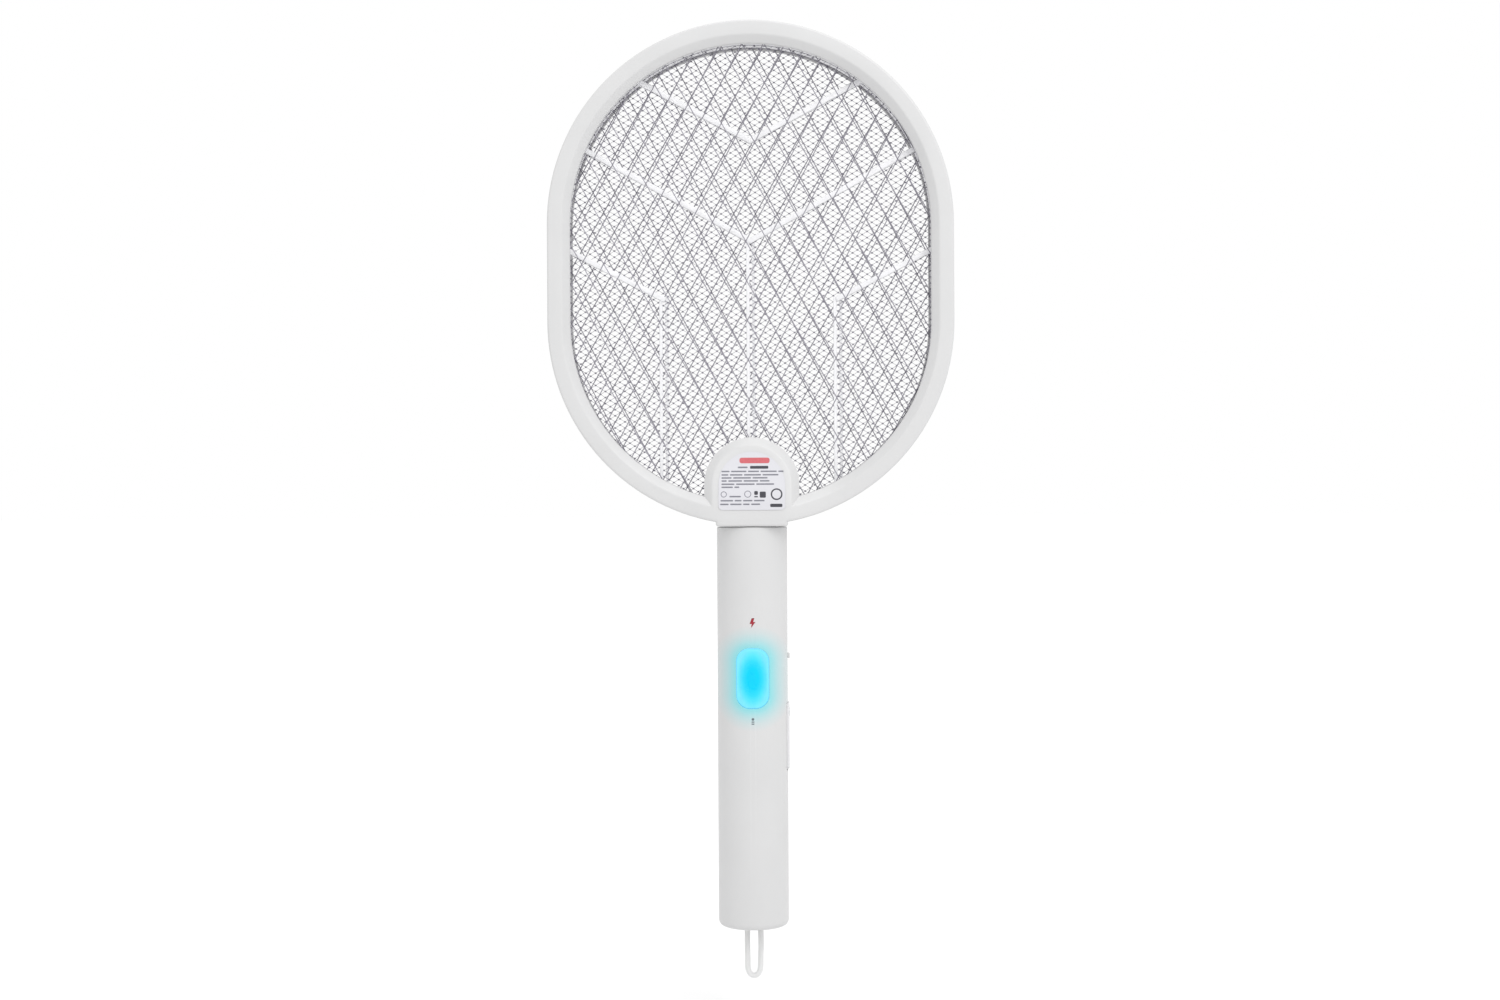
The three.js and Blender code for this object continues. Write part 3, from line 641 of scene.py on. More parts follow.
def sweep_round_head(section, steps=72):
    """Carries a closed [radius, y] section once round the head's obround outline."""
    low, high = lower_centre(), upper_centre()
    piece = outline([(r, y, high) for r, y in section], fill="NOTHING")
    edit(piece)
    bpy.ops.mesh.spin(steps=steps, angle=math.pi, center=(0, 0, high), axis=(0, 1, 0))
    bpy.ops.mesh.extrude_region_move(TRANSFORM_OT_translate={"value": (0, 0, low - high)})
    bpy.ops.mesh.spin(steps=steps, angle=math.pi, center=(0, 0, low), axis=(0, 1, 0))
    bpy.ops.mesh.extrude_region_move(TRANSFORM_OT_translate={"value": (0, 0, high - low)})
    bpy.ops.mesh.select_all(action="SELECT")
    bpy.ops.mesh.remove_doubles(threshold=0.01 * MM)
    face_outwards()
    return piece


def arch(half, base):
    return arc(0, head().boss_arc, half, 0, 180, 40) + [(-half, base), (half, base)]


def ring_section(side):
    h = head()
    lip = 6.9 * MM
    back = h.depth - 2 * MM
    corners = [
        (h.outer_radius, PARTING), (h.outer_radius, h.depth), (h.face_radius, h.depth),
        (h.window_radius, h.depth - h.bevel_depth), (h.window_radius, lip),
        (h.window_radius + 1.8 * MM, lip), (h.window_radius + 1.8 * MM, lip + 1.3 * MM),
        (94.2 * MM, back), (98.8 * MM, back), (98.8 * MM, PARTING),
    ]
    reach = [0.35, 1.3, 0.6, 0.5, 0.25, 0, 0, 0, 0, 0]
    section = round_corners(corners, [r * MM for r in reach], 4)
    return [(r, side * y) for r, y in section]


def boss_block(side):
    """The arched boss: its outline drawn forward, then its front face inset to the bevel."""
    h = head()
    front = side * (h.depth - h.bevel_depth)
    piece = prism(arch(h.boss_half, 103.4 * MM), side * PARTING, front)
    is_front = lambda face: abs(face.center.y - front) < 0.01 * MM and abs(face.normal.y) > 0.9
    select_only(piece, "FACE", piece.data.polygons, is_front)
    bpy.ops.mesh.inset(thickness=4 * MM, depth=h.bevel_depth + 0.02 * MM)
    bpy.ops.mesh.bevel(offset=0.5 * MM, segments=3, affect="EDGES")
    leave_edit()
    return piece


def neck_block(side):
    h = head()
    hair = 0.03 * MM
    low = (-h.neck_half, side * (PARTING + hair), h.neck_bottom)
    high = (h.neck_half, side * (h.depth - hair), 112 * MM)
    piece = block([min(a, b) for a, b in zip(low, high)], [max(a, b) for a, b in zip(low, high)])
    bevel_edges(piece, is_neck_corner, 1.3 * MM, 4)
    return piece


def is_neck_corner(a, b):
    """The edges round the neck's lower end and its two front uprights."""
    h = head()
    lowest = a.z < h.neck_bottom + MM and b.z < h.neck_bottom + MM
    parting = abs(a.y) < MM and abs(b.y) < MM
    upright = abs(a.x - b.x) < 1e-6 and abs(a.y) > 5 * MM and abs(b.y) > 5 * MM
    return (lowest and not parting) or upright


def smoothstep(x, low, high):
    t = np.clip((x - low) / (high - low), 0, 1)
    return t * t * (3 - 2 * t)


def neck_swell(x, y, z):
    """How far the ring's face swells outwards over the swivel joint."""
    up = 1 - smoothstep(z, 103 * MM, 141 * MM)
    across = 1 - smoothstep(np.abs(x), 15 * MM, 46 * MM)
    deep = smoothstep(np.abs(y), 7 * MM, 9.2 * MM)
    return head().neck_swell * up * across * deep


def slice_up(piece, across, along):
    """Cuts the piece's faces at these places on X and at these heights."""
    edit(piece)
    for normal, cuts in (((1, 0, 0), across), ((0, 0, 1), along)):
        for cut in cuts:
            bpy.ops.mesh.select_all(action="SELECT")
            bpy.ops.mesh.bisect(plane_co=[cut * c for c in normal], plane_no=normal)
    leave_edit()


def swell_neck(piece):
    slice_up(piece, np.arange(-46, 46.1, 4) * MM, np.arange(103, 142, 3) * MM)
    places = corners_of(piece)
    x, y, z = places.T
    places[:, 1] = y + np.sign(y) * neck_swell(x, y, z)
    place_corners(piece, places)


def screw_places():
    """Head screws lie on the ring, at these angles round the nearer round end."""
    radius = 96.2 * MM
    places = []
    for degrees in (35, 90, 145, 200, 250, 290, 340):
        a = math.radians(degrees)
        centre = upper_centre() if math.sin(a) > 0 else lower_centre()
        places.append((radius * math.cos(a), centre + radius * math.sin(a)))
    return places


def head_half(side):
    h = head()
    shell = sweep_round_head(ring_section(side))
    boolean(shell, boss_block(side), "UNION")
    boolean(shell, neck_block(side), "UNION")
    swell_neck(shell)
    hollow = sorted((side * -1 * MM, side * 9.4 * MM))
    boolean(shell, prism(arch(20.3 * MM, 103 * MM), *hollow))
    boolean(shell, cylinder(13 * MM, 10.3 * MM, (0, 0, 106.85 * MM), vertices=64))
    boolean(shell, cylinder(9.4 * MM, 10 * MM, (0, 0, 100 * MM), vertices=64))
    boolean(shell, cylinder(14.5 * MM, 4 * MM, (0, 0, 96.85 * MM), vertices=64))
    if side == REAR:
        for x, z in screw_places():
            boolean(shell, cylinder(2.6 * MM, 10 * MM, (x, HEAD_SCREW_SEAT + 5 * MM, z), "Y", 28))
    tidy_surface(shell)
    return shell


def finish_frame(side, name, node):
    material = moulded("head_plastic", finishes().shell)
    finish_piece(head_half(side), name, "head", material, [node])


class SwatterFrontFrame(bpy.types.Operator):
    """Front half of the head: ring, bevel, arched boss and swollen neck"""

    bl_idname = "swatter.front_frame"
    bl_label = "Head front frame"

    def execute(self, context):
        finish_frame(FRONT, "front_frame", "head_front_frame")
        return {"FINISHED"}


class SwatterRearFrame(bpy.types.Operator):
    """Rear half of the head, with the counterbores of its screws"""

    bl_idname = "swatter.rear_frame"
    bl_label = "Head rear frame"

    def execute(self, context):
        finish_frame(REAR, "rear_frame", "head_rear_frame")
        return {"FINISHED"}


# ---------------------------------------------------------------- the meshes


def in_window(x, z, radius):
    """Whether a point is inside the head's window and outside the boss."""
    h = head()
    nearest = np.clip(z, lower_centre(), upper_centre())
    inside = np.hypot(x, z - nearest) < radius
    over = np.where(z > h.boss_arc, np.hypot(x, z - h.boss_arc), np.abs(x))
    return inside & (over > h.boss_half + 0.2 * MM)


def lattice_vectors(width, height, turn):
    """The two directions of a diamond lattice that is turned a little in the head's plane."""
    spin = Matrix.Rotation(turn, 2)
    return [spin @ Vector((lean * width, height)) for lean in (1, -1)]


def lattice_middle(shift):
    return Vector((shift[0], (lower_centre() + upper_centre()) / 2 + shift[1]))


def chords(width, height, turn, shift, radius):
    """The stretches of each wire that lie inside the window, as pairs of end points."""
    middle = lattice_middle(shift)
    across = Matrix.Rotation(turn, 2) @ Vector((width, 0))
    families = []
    for way in lattice_vectors(width, height, turn):
        way.normalize()
        far = 0.14 / way.y
        along = np.arange(-far, far, 0.2 * MM)
        reach = math.ceil((0.1 + far * abs(way.x)) / width)
        found = []
        for k in range(-reach, reach + 1):
            start = middle + k * across
            x, z = start.x + along * way.x, start.y + along * way.y
            inside = np.concatenate([[False], in_window(x, z, radius), [False]])
            changes = np.flatnonzero(inside[1:] != inside[:-1])
            for first, last in zip(changes[::2], changes[1::2] - 1):
                if last - first > 6:
                    found.append(((x[first], z[first]), (x[last], z[last])))
        families.append(found)
    return families


def wire_matrices(ends, y, radius):
    """Stretches and turns a unit wire along each chord."""
    matrices = []
    for (x0, z0), (x1, z1) in ends:
        run = Vector((x1 - x0, 0, z1 - z0))
        size = Matrix.Diagonal((radius, radius, run.length, 1))
        matrices.append(Matrix.Translation(((x0 + x1) / 2, y, (z0 + z1) / 2)) @ turn_to(run) @ size)
    return matrices


def unit_wire(sides):
    wire = cylinder(1, 1, (0, 0, 0), vertices=sides)
    bevel_edges(wire, lambda a, b: abs(a.z - b.z) < 1e-6, 0.02, 1)
    return wire


def knot_places(width, height, turn, shift, y, radius):
    middle = lattice_middle(shift)
    first, second = lattice_vectors(width / 2, height / 2, turn)
    reach = math.ceil(0.24 / height + 0.12 / width) + 1
    places = []
    for i in range(-reach, reach + 1):
        for j in range(-reach, reach + 1):
            place = middle + i * first + j * second
            if in_window(np.array([place.x]), np.array([place.y]), radius)[0]:
                places.append(Matrix.Translation((place.x, y, place.y)))
    return places


def knot(half_width, half_depth, half_height):
    """A small lump where two strands of the mesh run together."""
    deselect_all()
    bpy.ops.mesh.primitive_uv_sphere_add(segments=6, ring_count=4, radius=1)
    lump = bpy.context.object
    lump.scale = (half_width, half_depth, half_height)
    place_in_mesh(lump)
    return lump


def diamond_sheet(name, y, width, height, radius, sides, knot_size, turn=0.0, shift=(0, 0)):
    window = head().rim_radius + 0.6 * MM
    gap = radius * 0.8
    layers = []
    for ends, depth in zip(chords(width, height, turn, shift, window), (y - gap, y + gap)):
        layers.append(repeat("layer", unit_wire(sides), wire_matrices(ends, depth, radius)))
    knots = knot_places(width, height, turn, shift, y, window - 0.5 * MM)
    layers.append(repeat("knots", knot(*knot_size), knots))
    return join(name, layers)


def rim_section(low, high, corner, steps):
    """A rounded rectangle in [radius, y], as wide as the rims that hold the meshes."""
    inner, outer = head().rim_radius, head().rim_outer
    return round_corners([(inner, low), (outer, low), (outer, high), (inner, high)], [corner] * 4, steps)


def notch_for_boss(piece):
    clearance = 0.4 * MM
    tool = prism(arch(head().boss_half + clearance, 90 * MM), -20 * MM, 20 * MM)
    boolean(piece, tool)


def add_rim(sheet, half_depth, y):
    """Joins the flat rim of a mesh to its wires, open where the boss is."""
    edge = sweep_round_head(rim_section(y - half_depth, y + half_depth, half_depth * 0.5, 1), 48)
    notch_for_boss(edge)
    join(sheet.name, [sheet, edge])


def outer_mesh(name, y, turn, shift):
    w = wires()
    size = (0.42 * MM, 0.5 * MM, 0.75 * MM)
    sheet = diamond_sheet(name, y, w.coarse_width, w.coarse_height, w.coarse_radius, 6, size, turn, shift)
    add_rim(sheet, 0.3 * MM, y)
    tidy_surface(sheet, 40, 0.0005 * MM)
    return sheet


class SwatterOuterMeshes(bpy.types.Operator):
    """The front and rear sheets of tall diamonds"""

    bl_idname = "swatter.outer_meshes"
    bl_label = "Outer meshes"

    def execute(self, context):
        steel = metal("mesh_wire", finishes().wire, 0.42)
        plane = wires().plane
        turn = math.radians(0.9)
        front = outer_mesh("front_wires", -plane, turn, (3.3 * MM, 6.25 * MM))
        finish_piece(front, "front_wires", "head", steel, ["front_mesh"])
        rear = outer_mesh("rear_wires", plane, -turn, (2.3 * MM, 11.65 * MM))
        finish_piece(rear, "rear_wires", "head", steel, ["rear_mesh"])
        return {"FINISHED"}


class SwatterCentreMesh(bpy.types.Operator):
    """The fine sheet of flat diamonds between the ribs"""

    bl_idname = "swatter.centre_mesh"
    bl_label = "Centre mesh"

    def execute(self, context):
        w = wires()
        size = (0.6 * MM, 0.18 * MM, 0.44 * MM)
        name = "centre_wires"
        sheet = diamond_sheet(name, 0, w.fine_width, w.fine_height, w.fine_radius, 4, size)
        add_rim(sheet, 0.15 * MM, 0)
        steel = metal("fine_mesh_wire", finishes().fine_wire, 0.5)
        finish_piece(sheet, name, "head", steel, ["centre_mesh"])
        return {"FINISHED"}


# ---------------------------------------------------------------- the rib webs


RIB_LINES_MM = [
    ((0, 291), (-60, 323)), ((0, 291), (60, 323)), ((0, 241), (-93, 292.5)), ((0, 241), (93, 292.5)),
    ((-43.5, 212), (-94, 238)), ((43.5, 212), (94, 238)), ((0, 241), (0, 141)),
    ((-43.5, 212), (-43.5, 114)), ((43.5, 212), (43.5, 114)),
]


def rib(start, end, y0, y1):
    """A bar with rounded edges between two points of the web."""
    a, b = (Vector((x * MM, 0, z * MM)) for x, z in (start, end))
    run = b - a
    bar = block((-1.3 * MM, min(y0, y1), -0.9 * MM), (1.3 * MM, max(y0, y1), run.length + 0.9 * MM))
    apply_modifier(bar, "BEVEL", width=0.35 * MM, segments=2)
    bar.matrix_world = Matrix.Translation(a) @ turn_to(run)
    place_in_mesh(bar)
    return bar


def rib_web(side):
    ribs = []
    for i, (start, end) in enumerate(RIB_LINES_MM):
        hair = 0.012 * i
        ribs.append(rib(start, end, side * (0.53 + hair) * MM, side * (2.2 + hair) * MM))
    web = ribs[0]
    for bar in ribs[1:]:
        boolean(web, bar, "UNION")
    limit = sorted((side * 0.2 * MM, side * 3 * MM))
    boolean(web, prism(obround(head().rim_radius + 2 * MM), *limit), "INTERSECT")
    section = [(r, side * y) for r, y in rim_section(0.5 * MM, 5.6 * MM, 0.5 * MM, 2)]
    boolean(web, sweep_round_head(section, 60), "UNION")
    notch_for_boss(web)
    tidy_surface(web)
    return web


def obround(radius):
    return arc(0, upper_centre(), radius, 0, 180, 48) + arc(0, lower_centre(), radius, 180, 360, 48)


class SwatterRibWebs(bpy.types.Operator):
    """The insulating webs that hold the centre mesh away from the outer ones"""

    bl_idname = "swatter.rib_webs"
    bl_label = "Rib webs"

    def execute(self, context):
        material = moulded("web_plastic", finishes().web, 0.5)
        for name, side, node in (("front_web", FRONT, "rib_web_front"), ("rear_web", REAR, "rib_web_rear")):
            finish_piece(rib_web(side), name, "head", material, [node])
        return {"FINISHED"}


# ---------------------------------------------------------------- the handle's shells


def handle_section():
    """The wall of the handle in [radius, z], from the bottom's middle up to the top's bore."""
    h = handle()
    corners = [
        (0.2 * MM, h.bottom), (h.radius, h.bottom), (h.radius, h.top), (14.5 * MM, h.top),
        (14.5 * MM, h.top - 0.8 * MM), (9.4 * MM, h.top - 0.8 * MM), (9.4 * MM, h.top - 2.6 * MM),
        (h.inner_radius, h.top - 2.6 * MM), (h.inner_radius, h.bottom + 2.4 * MM),
        (0.2 * MM, h.bottom + 2.4 * MM),
    ]
    reach = [0, 3.4, 0.7, 0.3, 0, 0, 0, 0, 0, 0]
    return round_corners(corners, [r * MM for r in reach], 8)


def handle_half(side):
    """One shell: the section spun through half a turn, a little short at the parting line."""
    short = math.radians(0.35)
    section = handle_section()
    start = [(r * math.cos(short), side * r * math.sin(short), z) for r, z in section]
    piece = outline(start, fill="NOTHING")
    edit(piece)
    bpy.ops.mesh.spin(steps=92, angle=math.pi - 2 * short, center=(0, 0, 0), axis=(0, 0, -side))
    bpy.ops.mesh.select_all(action="SELECT")
    bpy.ops.mesh.fill_holes(sides=0)
    face_outwards()
    return piece


def tongues():
    """Two strips on the rear shell's edges that close the parting line from inside."""
    inner = handle().inner_radius + 0.3 * MM
    strips = []
    for low, high in ((-inner - 0.7 * MM, -inner), (inner, inner + 0.7 * MM)):
        strips.append(block((low, -0.07 * MM, -96 * MM), (high, 0.6 * MM, 94 * MM)))
    return join("tongues", strips)


def loop_slot():
    slot = outline([(x, y, -104 * MM) for x, y in rounded_rect(11 * MM, 4.2 * MM, 2 * MM, 0, 0, 8)])
    return extrude(slot, (0, 0, 8 * MM))


def cover_pocket():
    """The shallow bed of the port cover in the grip's right side."""
    bed = block((12 * MM, -4.9 * MM, -23.4 * MM), (20 * MM, 4.9 * MM, 10.8 * MM))
    apply_modifier(bed, "BEVEL", width=1.2 * MM, segments=4)
    core = cylinder(16.3 * MM, 60 * MM, (0, 0, -6 * MM), vertices=192)
    boolean(bed, core)
    return bed


def side_openings(piece):
    boolean(piece, cover_pocket())
    port = block((13 * MM, -1.9 * MM, -10.9 * MM), (18 * MM, 1.9 * MM, -1.1 * MM))
    apply_modifier(port, "BEVEL", width=1.4 * MM, segments=5)
    boolean(piece, port)
    slider = block((13 * MM, -1.3 * MM, 31.9 * MM), (20 * MM, 1.3 * MM, 39.7 * MM))
    boolean(piece, slider)


def button_outline(grow=0.0):
    h = handle()
    return rounded_rect(
        h.button_width + 2 * grow, h.button_length + 2 * grow, h.button_corner + grow,
        0, h.button_height, 12,
    )


BOLT_MM = [(-1.2, -0.35), (-0.35, -0.35), (-0.6, -2), (1.2, 0.45), (0.3, 0.45), (0.75, 2), (-0.3, 2)]


def bolt_outline(grow=1.0):
    middle = handle().indicator_height
    return [(x * grow * MM, middle + z * grow * MM) for x, z in BOLT_MM]


def outside_button(x, z):
    """Distance of a point outside the button's outline, negative inside."""
    h = handle()
    across = max(abs(x) - h.button_width / 2 + h.button_corner, 0)
    along = max(abs(z - h.button_height) - h.button_length / 2 + h.button_corner, 0)
    return math.hypot(across, along) - h.button_corner


def on_rim(a, b, radius, grow):
    """Whether an edge lies on a cylinder round the grip's axis and along the button's outline."""
    slack = 0.03 * MM
    middle = (a + b) / 2
    for point in (a, b, middle):
        if point.y > 0 or abs(outside_button(point.x, point.z) - grow) > slack:
            return False
    return all(abs(math.hypot(p.x, p.y) - radius) < slack for p in (a, b))


class SwatterFrontShell(bpy.types.Operator):
    """Front shell of the handle, with the windows of the button and the indicator"""

    bl_idname = "swatter.front_shell"
    bl_label = "Handle front shell"

    def execute(self, context):
        shell = handle_half(FRONT)
        boolean(shell, loop_slot())
        side_openings(shell)
        boolean(shell, prism(button_outline(BUTTON_GAP), -30 * MM, -8 * MM))
        bevel_edges(shell, lambda a, b: on_rim(a, b, handle().radius, BUTTON_GAP), 0.3 * MM, 3)
        boolean(shell, prism(bolt_outline(1.22), -30 * MM, -8 * MM))
        tidy_surface(shell, 15)
        finish_piece(shell, "front_shell", "handle", lit_shell(), ["handle_front_shell"])
        return {"FINISHED"}


class SwatterRearShell(bpy.types.Operator):
    """Rear shell of the handle, with the counterbores of its screws"""

    bl_idname = "swatter.rear_shell"
    bl_label = "Handle rear shell"

    def execute(self, context):
        shell = handle_half(REAR)
        boolean(shell, tongues(), "UNION")
        boolean(shell, loop_slot())
        side_openings(shell)
        bores = []
        for x, z in HANDLE_SCREWS_MM:
            low = 9.2 if x else 11
            tube = cylinder(2.7 * MM, 20 * MM, (x * MM, (low + 10) * MM, z * MM), "Y", 32)
            bores.append(tube)
        boolean(shell, join("counterbores", bores))
        tidy_surface(shell)
        material = moulded("grip_plastic", finishes().shell)
        finish_piece(shell, "rear_shell", "handle", material, ["handle_rear_shell"])
        return {"FINISHED"}


# ---------------------------------------------------------------- controls on the grip


class SwatterPowerButton(bpy.types.Operator):
    """The translucent push button, its retaining flange and its plunger"""

    bl_idname = "swatter.power_button"
    bl_label = "Power button"

    def execute(self, context):
        h = handle()
        cap = prism(button_outline(), -25 * MM, -11.4 * MM)
        middle = (0, 0, h.button_height)
        boolean(cap, cylinder(h.button_crown, 60 * MM, middle, vertices=240), "INTERSECT")
        bevel_edges(cap, lambda a, b: on_rim(a, b, h.button_crown, 0), 1.1 * MM, 5)
        flange = prism(button_outline(0.8 * MM), -12 * MM, -10.8 * MM)
        apply_modifier(flange, "BEVEL", width=0.25 * MM, segments=2, limit_method="ANGLE")
        boolean(cap, flange, "UNION")
        boolean(cap, cylinder(2.2 * MM, 7 * MM, (0, -7.5 * MM, h.button_height), "Y", 28), "UNION")
        tidy_surface(cap)
        finish_piece(cap, "button_cap", "power_button", lit_cap(), ["power_button"])
        return {"FINISHED"}


class SwatterIndicator(bpy.types.Operator):
    """The small bolt-shaped window that lights up, and the printed mark under the button"""

    bl_idname = "swatter.indicator"
    bl_label = "Bolt indicator"

    def execute(self, context):
        window = prism(bolt_outline(1.08), -19 * MM, -14.9 * MM)
        middle = (0, 0, handle().indicator_height)
        boolean(window, cylinder(17.45 * MM, 20 * MM, middle, vertices=240), "INTERSECT")
        tidy_surface(window)
        light = light_window("bolt_window", finishes().alarm, 0.65)
        finish_piece(window, "bolt_window", "handle", light, ["indicator_window"])

        shapes = [arc(0, 3.7 * MM, 0.65 * MM, 0, 360, 24)[:-1]]
        for z in (2.4, 1.4):
            shapes.append(rounded_rect(1.4 * MM, 0.5 * MM, 0.15 * MM, 0, z * MM, 3))
        mark = join("grip_mark", [prism(shape, -18 * MM, -17 * MM) for shape in shapes])
        ring = cylinder(17.54 * MM, 12 * MM, (0, 0, 2.5 * MM), vertices=240)
        boolean(ring, cylinder(17.4 * MM, 20 * MM, (0, 0, 2.5 * MM), vertices=240))
        boolean(mark, ring, "INTERSECT")
        tidy_surface(mark)
        print_ink = printed("grip_print", (0.1, 0.12, 0.14))
        finish_piece(mark, "grip_mark", "handle", print_ink)
        return {"FINISHED"}


class SwatterPortCover(bpy.types.Operator):
    """The rubber strip over the charging port, with its finger ridges and its fold"""

    bl_idname = "swatter.port_cover"
    bl_label = "Port cover"

    def execute(self, context):
        strip = block((13 * MM, -4.5 * MM, -22.4 * MM), (20 * MM, 4.5 * MM, 10.4 * MM))
        bevel_edges(strip, lambda a, b: abs(a.x - b.x) > 1 * MM, 1.2 * MM, 5)
        boolean(strip, cylinder(18.3 * MM, 60 * MM, (0, 0, -6 * MM), vertices=240), "INTERSECT")
        boolean(strip, cylinder(16.62 * MM, 60 * MM, (0, 0, -6 * MM), vertices=240))
        apply_modifier(strip, "BEVEL", width=0.45 * MM, segments=3, limit_method="ANGLE")
        for z in (4.2, 5.8, 7.4):
            ridge = cylinder(0.42 * MM, 5.6 * MM, (18.2 * MM, 0, z * MM), "Y", 20)
            apply_modifier(ridge, "BEVEL", width=0.3 * MM, segments=3, limit_method="ANGLE")
            boolean(strip, ridge, "UNION")
        fold = cylinder(0.35 * MM, 12 * MM, (18.4 * MM, 0, -19.4 * MM), "Y", 16)
        boolean(strip, fold)
        tidy_surface(strip)
        rubber = moulded("pale_rubber", finishes().rubber, 0.62, 2200, 0.2)
        finish_piece(strip, "cover_strip", "port_cover", rubber, ["port_cover"])
        return {"FINISHED"}


class SwatterSlideKnob(bpy.types.Operator):
    """The knob of the main slide switch, grooved across its top"""

    bl_idname = "swatter.slide_knob"
    bl_label = "Slide knob"

    def execute(self, context):
        knob = block((15 * MM, -1 * MM, 32.5 * MM), (18.6 * MM, 1 * MM, 35.1 * MM))
        apply_modifier(knob, "BEVEL", width=0.3 * MM, segments=3)
        for z in (33.1, 33.8, 34.5):
            groove = cylinder(0.16 * MM, 4 * MM, (18.66 * MM, 0, z * MM), "Y", 12)
            boolean(knob, groove)
        tidy_surface(knob)
        material = moulded("knob_plastic", finishes().shell, 0.45)
        finish_piece(knob, "slide_knob", "slide_switch", material, ["slide_switch_knob"])
        return {"FINISHED"}


# ---------------------------------------------------------------- screws


def screw_model():
    """A self-tapping screw along Y: pan head with a cross recess, thread and point."""
    head_low, head_high = -0.2, 1.8
    profile = [(0, head_high), (1.5, head_high), (2.0, 1.6), (2.25, 1.2), (2.3, 0.7), (2.3, head_low)]
    profile.append((0.95, head_low))
    for turn in range(18):
        y = -1.4 - 0.85 * turn
        profile += [(0.92, y + 0.3), (1.12, y), (0.92, y - 0.3)]
    profile += [(0.5, -17), (0, -17.4)]
    piece = outline([(r * MM, y * MM, 0) for r, y in profile], fill="NOTHING")
    edit(piece)
    bpy.ops.mesh.spin(steps=18, angle=2 * math.pi, center=(0, 0, 0), axis=(0, 1, 0))
    bpy.ops.mesh.select_all(action="SELECT")
    bpy.ops.mesh.remove_doubles(threshold=0.004 * MM)
    bpy.ops.mesh.delete_loose()
    face_outwards()
    for turn in (0, math.pi / 2):
        bar = block((-1.3 * MM, 0.8 * MM, -0.27 * MM), (1.3 * MM, 3 * MM, 0.27 * MM))
        bar.rotation_euler = (0, turn + math.pi / 4, 0)
        place_in_mesh(bar)
        boolean(piece, bar)
    tidy_surface(piece)
    return piece


def copy_to(piece, place):
    twin = piece.copy()
    twin.data = piece.data.copy()
    bpy.context.collection.objects.link(twin)
    twin.matrix_world = Matrix.Translation(place)
    place_in_mesh(twin)
    return twin


class SwatterScrews(bpy.types.Operator):
    """The seven screws of the head and the three of the handle"""

    bl_idname = "swatter.screws"
    bl_label = "Screws"

    def execute(self, context):
        steel = metal("screw_steel", (0.42, 0.42, 0.44), 0.3, (1, 1, 1), 1500)
        model = screw_model()
        for i, (x, z) in enumerate(screw_places(), 1):
            screw = copy_to(model, (x, HEAD_SCREW_SEAT, z))
            finish_piece(screw, f"head_bolt_{i}", "head", steel, [f"head_screw_{i}"])
        for i, (x, z) in enumerate(HANDLE_SCREWS_MM, 1):
            screw = copy_to(model, (x * MM, 9 * MM, z * MM))
            finish_piece(screw, f"grip_bolt_{i}", "handle", steel, [f"handle_screw_{i}"])
        bpy.data.objects.remove(model, do_unlink=True)
        return {"FINISHED"}


# ---------------------------------------------------------------- the rating label


def printed(name, base):
    """Printing ink: a little uneven in tone, satin."""
    n = Nodes(name)
    n.set(
        Base_Color=n.tones(n.noise(1400, 3), base, 0.9, 1.12),
        Roughness=n.uneven(n.noise(700, 2), 0.4, 0.55),
    )
    return n.material


def lay_on_head(piece):
    """Gives a thin flat piece enough faces to follow the swollen neck, then lays it on."""
    spacing = 2 * MM
    low, high = corners_of(piece).min(0) + spacing, corners_of(piece).max(0) - 0.2 * spacing
    slice_up(piece, *(np.arange(low[axis], high[axis], spacing) for axis in (0, 2)))
    places = corners_of(piece)
    deep = np.full(len(places), head().depth)
    places[:, 1] -= neck_swell(places[:, 0], deep, places[:, 2])
    place_corners(piece, places)
    tidy_surface(piece)


def stick_on(piece, name, material, nodes=()):
    lay_on_head(piece)
    finish_piece(piece, name, "head", material, nodes)


def bar(low, high, corner):
    """A rounded printed bar between two [x, z] corners, in millimetres."""
    width, height = high[0] - low[0], high[1] - low[1]
    middle = ((low[0] + high[0]) / 2 * MM, (low[1] + high[1]) / 2 * MM)
    shape = rounded_rect(width * MM, height * MM, corner * MM, *middle, 3)
    return prism(shape, LABEL_SURFACE - 0.02 * MM, LABEL_SURFACE + 0.02 * MM)


def ring_print(centre, outer, inner):
    y = LABEL_SURFACE
    x, z = centre[0] * MM, centre[1] * MM
    disc = cylinder(outer * MM, 0.04 * MM, (x, y, z), "Y", 32)
    boolean(disc, cylinder(inner * MM, 1 * MM, (x, y, z), "Y", 32))
    return disc


def fine_print():
    """Rows of plain dashes. Each row has its height, its left end and its dashes' lengths."""
    rows = [
        (125.6, -14.9, (4.0, 7.6, 5.4, 8.0, 2.6)), (123.9, -14.9, (3.4, 6.2, 8.4, 7.8)),
        (122.4, -14.9, (5.0, 8.8, 7.4)), (120.9, -14.9, (2.6, 6.8, 7.2, 4.8)),
        (119.3, -14.9, (6.4, 9.2, 8.8)), (117.8, -14.9, (5.6, 2.4)), (113.2, -11.0, (5.6,)),
        (111.2, -15.4, (6.2, 3.4, 4.6, 5.2)), (109.4, -15.6, (4.2, 5.6, 3.2, 4.4)),
    ]
    dashes = []
    for z, x, lengths in rows:
        for long in lengths:
            dashes.append(bar((x, z - 0.36), (x + long, z + 0.36), 0.3))
            x += long + 0.75
    return dashes


